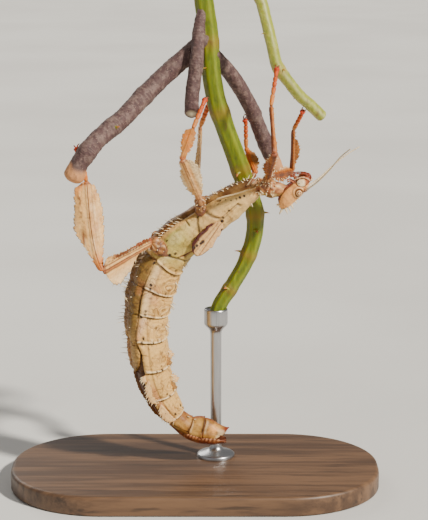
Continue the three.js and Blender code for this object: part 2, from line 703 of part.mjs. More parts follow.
// A foot of five joints, of which the last is the longest, with two curved claws.
function footBody(leg, thick) {
  const curve = footRoute(leg, thick);
  const joints = [0, 0.3, 0.48, 0.62, 0.74, 1];
  const radiusAt = (t) => {
    const into = joints.findIndex((j) => j > t - 1e-6);
    const low = joints[Math.max(0, into - 1)];
    const high = joints[Math.max(1, into)];
    const share = (t - low) / (high - low);
    return thick * (0.78 + 0.22 * Math.sin(Math.PI * share) ** 2);
  };
  const body = tube(curve, radiusAt, SIDES.foot, 9);
  const tip = curve.getPoint(1);
  const ahead = curve.getTangent(1);
  const sheer = ahead.clone().cross(point(0, 1, 0)).normalize();
  const claws = [1, -1].map((side) => {
    const way = ahead.clone().addScaledVector(sheer, 0.7 * side).normalize();
    return spine(tip.clone().addScaledVector(sheer, 0.25 * side), way, 1.5, 0.7);
  });
  return joined(body, claws);
}

function coxaBody(leg, grow = 0) {
  const { root, radius } = COXAE[leg.pair];
  const start = leg.hip[1] < 0 ? root : mirrored(root);
  const curve = new THREE.LineCurve3(point(...start), point(...leg.hip));
  return tube(curve, (t) => grow + radius * (1.1 - 0.25 * t), SIDES.coxa, 2, point(1, 0, 0));
}

function legBodies(leg) {
  const shafts = SHAFTS[leg.pair];
  const femur = (grow) =>
    legLength(leg.hip, leg.knee, shafts.femur, leg.femur.facing, leg.femur.lobes, grow);
  const tibia = (grow) =>
    legLength(leg.knee, leg.ankle, shafts.tibia, leg.tibia.facing, leg.tibia.lobes, grow);
  const trunk = COXAE[leg.pair].on.map((name) => trunkGrown[name]());
  const stems = leg.grips.map((name) => stemBody(name, GAP));
  return {
    coxa: carved(coxaBody(leg), trunk),
    femur: carved(femur(0), [coxaBody(leg, GAP), ...trunk]),
    tibia: carved(tibia(0), [femur(GAP), ...stems]),
    tarsus: carved(footBody(leg, shafts.tarsus), [tibia(GAP), ...stems]),
  };
}

// ---------------------------------------------------------------- stand

function standBase() {
  const { length, depth, thick, corner, chamfer } = BASE;
  const x = length / 2 - chamfer;
  const y = depth / 2 - chamfer;
  const r = corner - chamfer;
  const outline = new THREE.Shape();
  outline.moveTo(-x + r, -y);
  outline.lineTo(x - r, -y);
  outline.absarc(x - r, -y + r, r, -Math.PI / 2, 0);
  outline.lineTo(x, y - r);
  outline.absarc(x - r, y - r, r, 0, Math.PI / 2);
  outline.lineTo(-x + r, y);
  outline.absarc(-x + r, y - r, r, Math.PI / 2, Math.PI);
  outline.lineTo(-x, -y + r);
  outline.absarc(-x + r, -y + r, r, Math.PI, 1.5 * Math.PI);
  const geometry = new THREE.ExtrudeGeometry(outline, {
    depth: thick - 2 * chamfer,
    bevelThickness: chamfer,
    bevelSize: chamfer,
    bevelSegments: 1,
    curveSegments: 4,
  });
  geometry.translate(0, 0, chamfer);
  return solid(geometry);
}

// The rod stands on the base and holds the cane's lower end in a cup.
function standRod() {
  const foot = BASE.thick + GAP;
  const seat = specimen.position.z + CANE_FOOT.z - GAP; // floor of the cup
  const top = seat + ROD.cupDeep;
  const profile = [
    [0, foot], [ROD.foot, foot], [ROD.foot, foot + 0.6], [ROD.foot - 1, foot + ROD.footThick],
    [ROD.radius, foot + ROD.footThick], [ROD.radius, seat - 3], [ROD.cup, seat - 1],
    [ROD.cup, top], [0, top],
  ];
  const geometry = new THREE.LatheGeometry(profile.map(([r, z]) => new THREE.Vector2(r, z)), 12);
  geometry.rotateX(Math.PI / 2);
  geometry.translate(CANE_FOOT.x, CANE_FOOT.y, 0);
  const cane = stemBody("perch_cane", GAP).translate(specimen.position.toArray());
  return carved(solid(geometry), [cane]);
}

// ---------------------------------------------------------------- assembly

trunkBodies.set("prothorax", carved(trunkBodies.get("prothorax"), [headBody(GAP)]));
for (const [name, body] of trunkBodies) {
  place(specimen, name, body, name.startsWith("abdomen") ? CREAM : OLIVE_CREAM);
}
place(specimen, "operculum", operculum(), RUST);

const eyes = { left: 1, right: -1 };
const headSolid = joined(headBody(), crownSpines());
const hollows = Object.values(eyes).map((side) => eyeBody(side, GAP));
place(specimen, "head", carved(headSolid, hollows), CREAM);
place(specimen, "mouthparts", carved(mouthBody(), [headBody(GAP)]), RUST);
for (const [side, sign] of Object.entries(eyes)) {
  place(specimen, `eye_${side}`, eyeBody(sign), EYE_GLOSS);
  place(specimen, `antenna_${side}`, carved(feeler(side), [headBody(GAP)]), FEELER);
  const over = ["mesothorax", "metathorax"].map((name) => trunkGrown[name]());
  place(specimen, `tegmen_${side}`, carved(tegmen(sign), over), ROSE);
}

for (const [name, leg] of Object.entries(LEGS)) {
  for (const [piece, body] of Object.entries(legBodies(leg))) {
    place(specimen, `${piece}_${name}`, body, piece === "tarsus" ? FOOT : LOBE);
  }
}

for (const [name, stem] of Object.entries(STEMS)) {
  const neighbours = (stem.meets ?? []).map((other) => stemBody(other, GAP));
  place(specimen, name, carved(stemBody(name), neighbours), stem.material);
}

place(display, "stand_base", standBase(), WOOD);
place(display, "stand_rod", standRod(), METAL);

export default display;
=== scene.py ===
# %% [markdown]
# # A giant prickly stick insect on its bramble stems
# A museum shows this insect as it lives: upside down, its back to the ground, hanging by its feet.
# The solids from the frame give every size and place.  This lesson dresses them: one skin for the
# body, a leaf-like skin for each leg, thorns, bark, and a stand of oiled wood and brushed steel.
# Lengths are written in millimetres and turned into metres at the moment a piece is shaped.

# %% Load the frame
import math
import random

import bpy
import numpy as np
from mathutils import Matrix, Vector
from numpy import array, clip, column_stack, cos, cross, exp, hypot, interp, linspace, minimum, pi
from numpy import sin, sqrt, where
from numpy.linalg import norm

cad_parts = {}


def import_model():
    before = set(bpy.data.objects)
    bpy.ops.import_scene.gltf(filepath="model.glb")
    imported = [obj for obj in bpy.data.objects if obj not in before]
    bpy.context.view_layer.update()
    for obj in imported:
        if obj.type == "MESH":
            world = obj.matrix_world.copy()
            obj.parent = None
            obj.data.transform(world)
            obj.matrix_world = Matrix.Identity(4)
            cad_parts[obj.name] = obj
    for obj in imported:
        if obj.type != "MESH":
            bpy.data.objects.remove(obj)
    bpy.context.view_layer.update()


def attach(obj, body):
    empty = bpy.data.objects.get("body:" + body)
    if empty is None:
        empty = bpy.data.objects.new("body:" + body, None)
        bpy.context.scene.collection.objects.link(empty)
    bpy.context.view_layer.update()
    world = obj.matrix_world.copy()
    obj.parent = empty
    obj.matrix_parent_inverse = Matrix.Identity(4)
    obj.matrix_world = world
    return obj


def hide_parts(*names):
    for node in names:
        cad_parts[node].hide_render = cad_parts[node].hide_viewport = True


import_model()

# %% [markdown]
# ## The bench
# Real model makers work on a bench and mount the finished piece afterwards.  Here the bench is the
# Z axis: a plain tube from 0 to 1 is added as a primitive and cut into rings, so that every vertex
# knows how far along the piece it sits and at what angle round it.  A fine tube is cut twice: into
# coarse rings, and then each of those into ten.  A formula for the piece then bends, swells and
# carves the tube, which operators alone could not do for a living form.

# %% Units and the animal's own height
MM = 0.001
LIFT = array([0.0, 0.0, -6.0])  # the animal's own measures start 6 mm below the display base
LEFT = array([0.0, -1.0, 0.0])  # out of the animal's left side
MOST_CUTS = 100  # one call of the cutting tool makes no more


# %% Helpers that add and cut a tube on the bench
def alone():
    """Nothing is selected, so that the next operator acts on its own piece only."""
    if bpy.context.mode != "OBJECT":
        bpy.ops.object.mode_set(mode="OBJECT")
    bpy.ops.object.select_all(action="DESELECT")


def choose(piece):
    """Only this piece is selected and active."""
    alone()
    piece.select_set(True)
    bpy.context.view_layer.objects.active = piece


def pick_edges(piece, wanted):
    """Opens the piece in edit mode with these of its edges selected."""
    choose(piece)
    bpy.ops.object.mode_set(mode="EDIT")
    bpy.ops.mesh.select_mode(type="EDGE")
    bpy.ops.mesh.select_all(action="DESELECT")
    bpy.ops.object.mode_set(mode="OBJECT")
    piece.data.edges.foreach_set("select", wanted)
    bpy.ops.object.mode_set(mode="EDIT")


def cut_lengthwise(piece, cuts):
    """Cuts the edges that run along the tube, and no others."""
    heights = read_places(piece)[:, 2]
    ends = np.zeros(2 * len(piece.data.edges), int)
    piece.data.edges.foreach_get("vertices", ends)
    pick_edges(piece, abs(heights[ends[0::2]] - heights[ends[1::2]]) > 1e-4)
    bpy.ops.mesh.subdivide(number_cuts=cuts)
    bpy.ops.mesh.select_mode(type="VERT")
    bpy.ops.object.mode_set(mode="OBJECT")


def bench_tube(name, sides, rings):
    """A closed tube of radius 1 from z = 0 to z = 1, cut into rings: past 100, in whole tens."""
    alone()
    bpy.ops.mesh.primitive_cylinder_add(
        vertices=sides, radius=1, depth=1, location=(0, 0, 0.5), end_fill_type="TRIFAN"
    )
    piece = bpy.context.object
    piece.name = name
    bpy.ops.object.transform_apply(location=True, rotation=True, scale=True)
    if rings > MOST_CUTS:
        cut_lengthwise(piece, rings // 10 - 1)
        cut_lengthwise(piece, 9)
    elif rings > 1:
        cut_lengthwise(piece, rings - 1)
    return piece


def read_places(piece):
    """The piece's vertices as rows of x, y, z."""
    places = np.zeros(3 * len(piece.data.vertices))
    piece.data.vertices.foreach_get("co", places)
    return places.reshape(-1, 3)


def write_places(piece, places):
    """Moves the piece's vertices to these rows of x, y, z, in metres."""
    piece.data.vertices.foreach_set("co", np.ascontiguousarray(places, float).ravel())
    piece.data.update()


def write_mask(piece, name, values):
    """Keeps one number from 0 to 1 at each vertex, for the materials to paint by."""
    mask = piece.data.attributes.get(name) or piece.data.attributes.new(name, "FLOAT", "POINT")
    values = np.broadcast_to(clip(values, 0, 1), len(piece.data.vertices))
    mask.data.foreach_set("value", values.astype(np.float32))


def finish_surface(piece):
    """Turns the faces outwards and shades them smooth."""
    choose(piece)
    bpy.ops.object.mode_set(mode="EDIT")
    bpy.ops.mesh.select_all(action="SELECT")
    bpy.ops.mesh.normals_make_consistent(inside=False)
    bpy.ops.object.mode_set(mode="OBJECT")
    bpy.ops.object.shade_smooth()


def shaped(piece, form):
    """Moves a bench piece's vertices by a form: form(t, angle, reach) gives places in millimetres
    in the animal's own frame, and the masks that paint it."""
    bench = read_places(piece)
    t = bench[:, 2]
    angle = np.arctan2(bench[:, 1], bench[:, 0])
    reach = minimum(hypot(bench[:, 0], bench[:, 1]), 1)
    places, masks = form(t, angle, reach)
    write_places(piece, (places + LIFT) * MM)
    for name, values in masks.items():
        write_mask(piece, name, values)
    finish_surface(piece)
    return piece


def united(name, pieces):
    """Joins pieces into the first of them, under one name."""
    alone()
    for piece in pieces:
        piece.select_set(True)
    bpy.context.view_layer.objects.active = pieces[0]
    if len(pieces) > 1:
        bpy.ops.object.join()
    pieces[0].name = name
    return pieces[0]


def dress(piece, material, slot, *nodes):
    """Gives a finished piece its material and hides the solids it stands for. The slot is not used."""
    piece.data.materials.clear()
    piece.data.materials.append(material)
    piece.data.name = piece.name
    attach(piece, "root")
    if nodes:
        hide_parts(*nodes)
    triangles = sum(len(face.vertices) - 2 for face in piece.data.polygons)
    print(f"{piece.name}: {triangles} triangles")


# %% Helpers for smooth curves and soft edges
def catmull(points, t):
    """Places at shares t of a smooth centripetal curve through the points."""
    spots = array(points, float)
    spots = np.vstack([2 * spots[0] - spots[1], spots, 2 * spots[-1] - spots[-2]])
    spans = len(points) - 1
    s = clip(np.atleast_1d(np.asarray(t, float)), 0, 1) * spans
    i = minimum(s.astype(int), spans - 1)
    w = (s - i)[:, None]
    p0, p1, p2, p3 = spots[i], spots[i + 1], spots[i + 2], spots[i + 3]
    d0 = np.maximum(norm(p1 - p0, axis=1, keepdims=True), 1e-8) ** 0.5
    d1 = np.maximum(norm(p2 - p1, axis=1, keepdims=True), 1e-8) ** 0.5
    d2 = np.maximum(norm(p3 - p2, axis=1, keepdims=True), 1e-8) ** 0.5
    m1 = ((p1 - p0) / d0 - (p2 - p0) / (d0 + d1) + (p2 - p1) / d1) * d1
    m2 = ((p2 - p1) / d1 - (p3 - p1) / (d1 + d2) + (p3 - p2) / d2) * d1
    a = (2 * w**3 - 3 * w**2 + 1) * p1 + (w**3 - 2 * w**2 + w) * m1
    return a + (3 * w**2 - 2 * w**3) * p2 + (w**3 - w**2) * m2


def unit(rows):
    """Each row scaled to length 1."""
    rows = np.asarray(rows, float)
    return rows / np.maximum(norm(rows, axis=-1, keepdims=True), 1e-12)


def heading(points, t):
    """The direction of the curve at shares t."""
    t = np.atleast_1d(np.asarray(t, float))
    return unit(catmull(points, t + 1e-3) - catmull(points, t - 1e-3))


def ramp(x, low, high):
    """0 below low, 1 above high, and a soft step between."""
    s = clip((x - low) / (high - low), 0, 1)
    return s * s * (3 - 2 * s)


def fall(x, low, high):
    """1 below low, 0 above high, and a soft step between."""
    return 1 - ramp(x, low, high)


def spread(x, low, high, soft):
    """1 between low and high, with soft shoulders."""
    return ramp(x, low - soft, low + soft) * fall(x, high - soft, high + soft)


def most(*values):
    """The greatest of several masks at each vertex."""
    top = values[0]
    for value in values[1:]:
        top = np.maximum(top, value)
    return top


def out_from(across, up, angle):
    """The way out of a piece at each angle, from two directions across it."""
    return across * cos(angle)[:, None] + up * sin(angle)[:, None]


def domed_end(t, start, length):
    """1 along a piece, then a ball's outline that closes it from start onwards."""
    return sqrt(clip(1 - np.maximum((t - start) / length, 0) ** 2, 0, 1))


def bump(x, centre, width):
    """A soft bump of height 1."""
    return exp(-(((x - centre) / width) ** 2))


def wobble(places, size, seed):
    """Smooth seeded unevenness from about -1 to 1, whose humps are about size millimetres wide."""
    draw = np.random.default_rng(seed)
    total = np.zeros(len(places))
    for _ in range(7):
        way = unit(draw.normal(size=3)) * (2 * math.pi / size) * draw.uniform(0.35, 1)
        total += sin(places @ way + draw.uniform(0, 2 * math.pi))
    return total / 3.5


# %% [markdown]
# ## Finishes
# Cuticle is never one flat colour.  Each finish below starts from a ground colour, lays stains over
# it where the piece's own masks say so, breaks it up with mottling of one or two sizes, and ends in
# a fine bump.  Some masks paint shade into grooves, hollows and sides turned from the key light, and
# highlights onto crests.  The masks are numbers kept at the vertices, so that a stain follows the
# form, and the mottling reads Object coordinates, so that it sits still on the piece.


# %% A helper that wires a layered finish
class Finish:
    """A material whose colour is built up in layers."""

    def __init__(self, name, ground, roughness, **shader):
        self.material = bpy.data.materials.new(name)
        self.material.use_nodes = True
        self.tree = self.material.node_tree
        self.surface = self.tree.nodes["Principled BSDF"]
        self.fill(self.surface, {word.replace("_", " "): value for word, value in shader.items()})
        self.fill(self.surface, {"Roughness": roughness})
        self.place = self.node("ShaderNodeTexCoord", {}).outputs["Object"]
        self.colour = (*ground, 1)
        self.material.diffuse_color = self.colour

    def fill(self, node, inputs):
        """Sets a node's inputs: an output is wired in, and anything else is the input's own value."""
        for socket, value in inputs.items():
            if isinstance(value, bpy.types.NodeSocket):
                self.tree.links.new(value, node.inputs[socket])
            else:
                node.inputs[socket].default_value = value
        return node

    def node(self, kind, inputs, **settings):
        """A new node with its settings and inputs."""
        made = self.tree.nodes.new(kind)
        for key, value in settings.items():
            setattr(made, key, value)
        return self.fill(made, inputs)

    def mask(self, name):
        """The piece's own mask of that name."""
        return self.node("ShaderNodeAttribute", {}, attribute_name=name).outputs["Fac"]

    def stretched(self, scale):
        """Object coordinates with each axis scaled by itself."""
        return self.node("ShaderNodeMapping", {"Vector": self.place, "Scale": scale}).outputs["Vector"]

    def noise(self, size, detail=3, place=None, rough=0.55):
        """Mottling with humps about size millimetres wide."""
        inputs = {"Scale": 1 / (size * MM), "Detail": detail, "Roughness": rough}
        return self.node("ShaderNodeTexNoise", {"Vector": place or self.place, **inputs}).outputs["Fac"]

    def cells(self, size):
        """Cells about size millimetres wide."""
        inputs = {"Vector": self.place, "Scale": 1 / (size * MM)}
        return self.node("ShaderNodeTexVoronoi", inputs, feature="F1").outputs["Distance"]

    def band(self, value, low, high, top=1):
        """A soft step from 0 at low to top at high."""
        inputs = {"Value": value, "From Min": low, "From Max": high, "To Max": top}
        return self.node("ShaderNodeMapRange", inputs, interpolation_type="SMOOTHSTEP").outputs["Result"]

    def times(self, first, second):
        """The product of two values."""
        return self.node("ShaderNodeMath", {0: first, 1: second}, operation="MULTIPLY").outputs["Value"]

    def stain(self, colour, amount, blend="MIX"):
        """Lays a colour over what is there, or multiplies by it, by an amount from 0 to 1."""
        inputs = {"A": self.colour, "B": (*colour, 1), "Factor": amount}
        mixed = self.node("ShaderNodeMix", inputs, data_type="RGBA", blend_type=blend)
        self.colour = mixed.outputs["Result"]

    def paint(self, stains):
        """Lays each colour where the mask of that name says, in the order given."""
        for name, colour in stains:
            self.stain(colour, self.mask(name))

    def done(self, height, depth, strength=1):
        """Sets the colour, and a bump depth millimetres deep from a height value."""
        inputs = {"Height": height, "Distance": depth * MM, "Strength": strength}
        normal = self.node("ShaderNodeBump", inputs).outputs["Normal"]
        self.fill(self.surface, {"Base Color": self.colour, "Normal": normal})
        return self.material


# %% Cuticle: cream-tan, with stains, painted shade and painted highlights from the masks, speckled and finely wrinkled
CREAM = (0.71, 0.42, 0.125)
# Ochre of the belly, made darker with painted shade: the belly faces away from the key light.
SHADED_BELLY_OCHRE = (0.215, 0.122, 0.024)
GREEN_CREAM = (0.46, 0.375, 0.085)
ROSE = (0.42, 0.125, 0.06)
AMBER = (0.35, 0.16, 0.022)
RUST = (0.21, 0.022, 0.007)
UMBER = (0.03, 0.012, 0.005)
SHELL_WHITE = (0.84, 0.66, 0.4)
PEACH = (1, 0.465, 0.145)
SAGE = (0.24, 0.24, 0.11)
EARTH = (0.18, 0.064, 0.01)
PLUM = (0.13, 0.045, 0.045)
WHORL_SPAN = 2.5  # the widest whorl, which its mask writes as 1
FOLD_TURNS = 8  # fold lines from a whorl's middle out to that width


def cuticle_finish(name, ground, stains, roughness=0.5, depth=0.1):
    """A cuticle with stains, painted shade and painted highlights in the order given, each a mask and its
    colour.
    """
    finish = Finish(
        name, ground, roughness, Subsurface_Weight=0.06, Subsurface_Radius=(0.0012, 0.0007, 0.0004),
        Coat_Weight=0.05, Coat_Roughness=0.35, Specular_IOR_Level=0.32,
    )
    finish.paint(stains)
    broad = finish.noise(3.2, 5)
    fine = finish.noise(0.9, 5, rough=0.65)
    for tint, mottle, low, high, top in (
        ((0.68, 0.6, 0.5), broad, 0.5, 0.72, 0.8), ((1.2, 1.2, 1.15), fine, 0.52, 0.72, 0.8),
        ((0.6, 0.52, 0.43), fine, 0.46, 0.3, 0.7),
    ):
        finish.stain(tint, finish.band(mottle, low, high, top), "MULTIPLY")
    curl = finish.noise(2.6, 1)
    crease = finish.times(finish.band(curl, 0.44, 0.5), finish.band(curl, 0.56, 0.5))
    crease = finish.times(crease, finish.band(broad, 0.42, 0.56, 0.8))
    finish.stain((0.36, 0.27, 0.18), finish.times(crease, finish.mask("creased")), "MULTIPLY")
    # Painted shade: the mask under darkens and warms the belly's far side, turned from the key light.
    finish.stain((0.95, 0.82, 0.5), finish.mask("under"), "MULTIPLY")
    # Nested fold lines: the mask counts turns of the whorl, and each whole turn is a thin line.
    inputs = {0: finish.mask("whorl"), 1: FOLD_TURNS, 2: curl}
    turns = finish.node("ShaderNodeMath", inputs, operation="MULTIPLY_ADD")
    fold = finish.node("ShaderNodeMath", {0: turns.outputs["Value"], 1: 0.5}, operation="PINGPONG")
    line = finish.times(finish.band(fold.outputs["Value"], 0.13, 0.05, 0.9), finish.mask("whorled"))
    finish.stain((0.38, 0.26, 0.15), finish.times(line, finish.band(fine, 0.36, 0.52)), "MULTIPLY")
    pores = finish.times(finish.band(finish.cells(0.9), 0.16, 0.04, 0.7), finish.band(broad, 0.42, 0.6))
    finish.stain((0.32, 0.24, 0.16), pores, "MULTIPLY")
    return finish.done(finish.noise(0.45, 5, rough=0.62), depth)


body_cuticle = cuticle_finish(
    "body_cuticle",
    CREAM,
    [
        ("green", GREEN_CREAM), ("belly", SHADED_BELLY_OCHRE), ("amber", AMBER), ("sage", SAGE),
        ("rose", ROSE), ("peach", PEACH), ("earth", EARTH), ("white", SHELL_WHITE), ("rust", RUST),
        ("plum", PLUM), ("dark", UMBER),
    ],
)
leg_cuticle = cuticle_finish(
    "leg_cuticle",
    (0.58, 0.3, 0.1),
    [
        ("cream", (0.82, 0.47, 0.165)), ("tan", (0.45, 0.155, 0.025)), ("brown", (0.16, 0.036, 0.007)),
        ("rose", ROSE), ("orange", (0.66, 0.17, 0.012)), ("foot", (0.58, 0.085, 0.008)),
        ("red", (0.46, 0.022, 0.006)), ("earth", EARTH), ("white", SHELL_WHITE), ("dark", UMBER),
    ],
)
print("finishes so far:", [material.name for material in bpy.data.materials])

# %% [markdown]
# ## Camera, floor and light
# The camera looks at the animal's left side from a little above.  The floor is one large pale
# sheet.  A warm, fairly crisp key light comes from above on the head's side, a weak broad fill
# from the tail's side, and a rim light from behind lifts the stems off the background.

# %% Camera
CAMERA_TARGET = Vector((6, 0, 72)) * MM
CAMERA_DISTANCE = 600 * MM
CAMERA_ELEVATION = math.radians(12)
FRAME_HEIGHT = 161.2 * MM  # what the frame's long side takes in at the target
SENSOR = 36

camera_data = bpy.data.cameras.new("camera")
camera_data.sensor_width = SENSOR
camera_data.lens = SENSOR * CAMERA_DISTANCE / FRAME_HEIGHT
camera_data.clip_start = 0.01
camera = bpy.data.objects.new("camera", camera_data)
bpy.context.scene.collection.objects.link(camera)
back_off = Vector((0, -math.cos(CAMERA_ELEVATION), math.sin(CAMERA_ELEVATION)))
camera.location = CAMERA_TARGET + back_off * CAMERA_DISTANCE
camera.rotation_euler = (-back_off).to_track_quat("-Z", "Y").to_euler()
bpy.context.scene.camera = camera
print("lens, mm:", round(camera_data.lens, 1))

# %% Floor
alone()
bpy.ops.mesh.primitive_plane_add(size=14, location=(0, 3.5, -0.0002))
floor = bpy.context.object
floor.name = "floor"
paper = Finish("studio_paper", (0.72, 0.71, 0.68), 0.9)
paper.stain((0.66, 0.65, 0.62), paper.band(paper.noise(160, 2), 0.3, 0.7))
floor.data.materials.append(paper.done(paper.noise(6, 2), 0.2, 0.4))


# %% Lights
def distant_light(name, spot, angle, strength, colour):
    """A lamp so far away that it lights the whole floor evenly, soft by its angle in degrees."""
    lamp_data = bpy.data.lights.new(name, "SUN")
    lamp_data.angle = math.radians(angle)
    lamp_data.energy = strength
    lamp_data.color = colour
    lamp = bpy.data.objects.new(name, lamp_data)
    bpy.context.scene.collection.objects.link(lamp)
    lamp.location = spot
    lamp.rotation_euler = (-Vector(spot)).to_track_quat("-Z", "Y").to_euler()


distant_light("key", (0.85, -0.7, 0.85), 5, 6, (1, 0.95, 0.86))
distant_light("fill", (-0.8, -0.6, 0.45), 60, 0.14, (0.92, 0.95, 1))
distant_light("rim", (-0.5, 0.9, 0.6), 30, 0.8, (1, 0.96, 0.9))
studio = bpy.data.worlds.new("studio")
studio.use_nodes = True
studio.node_tree.nodes["Background"].inputs["Color"].default_value = (0.96, 0.95, 0.94, 1)
studio.node_tree.nodes["Background"].inputs["Strength"].default_value = 0.25
bpy.context.scene.world = studio

# %% [markdown]
# ## The trunk
# The trunk is a row of rings of cuticle: three of the thorax and nine of the abdomen.  Each has a
# belly and a back that meet at its widest line, and the hind edge of each ring laps over the next.
# The stations are those of the solids, but the seams between the rings are bowed, and stand where
# the living cuticle has them, up to 2 mm off the solids' straight borders.  The form then adds what
# the solids leave out: lapped edges, the groove between belly and back, a ridge, and wrinkles.

# %% Stations of the trunk: x, z, depth, width, and where down the depth the widest line lies
TRUNK = array([
    [27.6, 100.2, 3.8, 3.6, 0.5], [23.4, 100.4, 5.2, 5.2, 0.5], [19.4, 100.8, 6.4, 5.4, 0.5],
    [10.6, 95.7, 10.2, 7, 0.55], [0.9, 88.9, 12, 10, 0.6], [-5.2, 84, 13, 11.6, 0.6],
    [-10.3, 77.4, 14.2, 12.4, 0.62], [-13.5, 68.7, 14.4, 13.8, 0.64], [-15, 60.4, 13.2, 16.4, 0.64],
    [-14.7, 52.2, 12.1, 18.2, 0.64], [-13.3, 42, 11.6, 17.4, 0.64], [-10.2, 33.4, 9.9, 13.6, 0.62],
    [-5.7, 27.2, 6.4, 8.6, 0.6], [-1.6, 24.8, 5.4, 7.2, 0.6], [2.6, 24.4, 5.6, 6.4, 0.55],
    [9.4, 23.1, 3, 4.2, 0.5],
])
LAST = len(TRUNK) - 1
BORDERS = [0, 2, 4, 6, 6.86, 7.8, 8.8, 9.78, 10.9, 12, 13, 14, 15]  # stations of the seams
AXIS = column_stack([TRUNK[:, 0], np.zeros(len(TRUNK)), TRUNK[:, 1]])
SIZES = column_stack([TRUNK[:, 2], TRUNK[:, 3], 10 * TRUNK[:, 4]])
MARCH = linspace(0, 1, 1501)
STEPS = norm(np.diff(catmull(AXIS, MARCH), axis=0), axis=1)
RUN = np.concatenate([[0], np.cumsum(STEPS)])  # millimetres along the trunk at each share
print("trunk length along its curve, mm:", round(RUN[-1], 1))


def part_share(station):
    """How far through its own ring of cuticle a station lies, from 0 to 1."""
    low = np.searchsorted(BORDERS, station, side="right") - 1
    low = clip(low, 0, len(BORDERS) - 2)
    begin = array(BORDERS)[low]
    end = array(BORDERS)[low + 1]
    return (station - begin) / (end - begin)


def trunk_frame(station):
    """Centre, direction to the tail, direction to the back, depth, width and widest line."""
    t = np.atleast_1d(np.asarray(station, float)) / LAST
    along = heading(AXIS, t)
    sizes = catmull(SIZES, t)
    return catmull(AXIS, t), along, cross(LEFT, along), sizes[:, 0], sizes[:, 1], sizes[:, 2] / 10


def trunk_section(station, angle, share=None):
    """How far the bare surface stands from the axis to the left and to the back."""
    _, _, _, depth, width, widest = trunk_frame(station)
    rise = sin(angle)
    line = depth * (0.5 - widest)
    half = where(rise > 0, depth * widest, depth * (1 - widest))
    share = part_share(np.atleast_1d(station)) if share is None else share
    swell = 0.97 + 0.05 * sin(pi * share)
    a = width / 2 * cos(angle) * swell
    b = (line + half * np.sign(rise) * abs(rise) ** 0.92) * swell
    return a, b


def on_trunk(station, degrees, side=1, lean=0):
    """A point on the bare trunk and the direction out of it, leaning to the tail by a share."""
    angle = math.radians(degrees if side > 0 else 180 - degrees)
    centre, along, back, *_ = trunk_frame(station)
    a, b = trunk_section(station, array([angle]))
    spot = centre[0] + LEFT * a[0] + back[0] * b[0]
    return spot, unit(unit(spot - centre[0]) + along[0] * lean)


# %% [markdown]
# The carving is a list of small reliefs, each a soft bump or groove at its own place: a lapped edge
# behind each ring, the pleural groove that parts belly from back and opens into a hollow from ring
# five on, the white ridge along the breast, a keel, and nested wrinkles on the back plates.

# %% Rings of vertices crowd together at the seams
SEAM_RUNS = interp(array(BORDERS[3:]) / LAST, MARCH, RUN)
MILES = linspace(0, RUN[-1], 4001)
crowding = 1 + 4 * sum(bump(MILES, seam_run, 0.5) for seam_run in SEAM_RUNS)
crowding += 0.9 * (MILES < SEAM_RUNS[0])  # the thorax and neck carry finer marks
PACE = np.concatenate([[0], np.cumsum((crowding[1:] + crowding[:-1]) / 2)])
PACE = PACE / PACE[-1]

# %% Reliefs and marks of the trunk
# Dark marks: station, degrees from the widest line to the back, radius in mm, and darkness.
MARKS = [
    (2.5, 3, 0.27, 1), (2.62, 0, 0.29, 1), (2.72, -2, 0.22, 0.8), (2.86, -6, 0.2, 0.9),
    (2.99, -17, 0.2, 0.9), (3.12, -25, 0.3, 1), (3.17, -28, 0.26, 0.9), (3.07, 16, 0.32, 1),
    (3.37, 31, 0.46, 1), (3.3, 25, 0.3, 0.9), (3.75, 66, 0.34, 0.8), (4.3, 50, 0.34, 0.8),
    (5.3, 18, 0.4, 0.9), (5.48, 11, 0.42, 1), (5.15, -16, 0.34, 0.9), (5.85, 47, 0.32, 0.9),
    (6.1, -6, 0.4, 1), (6.65, 7, 0.42, 1), (6.78, 8, 0.34, 1), (6.75, 42, 0.38, 0.8),
    (6.62, 62, 0.3, 0.8), (6.9, -3, 0.34, 1), (7.58, 9, 0.36, 0.9), (7.72, 9, 0.38, 0.9),
    (7.84, 2, 0.4, 1), (7.7, 47, 0.34, 1), (7.66, 62, 0.3, 0.8), (7.9, 20, 0.26, 0.8),
    (8.2, 35, 0.32, 0.9), (8.12, 53, 0.28, 0.8), (8.61, 6, 0.44, 1), (8.76, 3, 0.34, 0.9),
    (8.76, 26, 0.34, 1), (8.79, 46, 0.36, 1), (9.59, 41, 0.28, 1), (9.74, 27, 0.32, 0.9),
    (9.72, 41, 0.4, 1), (9.18, 52, 0.26, 0.7), (10.29, 55, 0.26, 0.8), (10.7, 36, 0.36, 1),
    (10.84, 41, 0.34, 1), (10.95, -14, 0.4, 1), (11.74, 27, 0.4, 1), (11.66, 70, 0.4, 0.9),
    (12.45, 60, 0.36, 0.9), (13.2, 62, 0.36, 0.8), (12.2, -20, 0.36, 0.8), (6.8, 24, 0.26, 0.7),
]


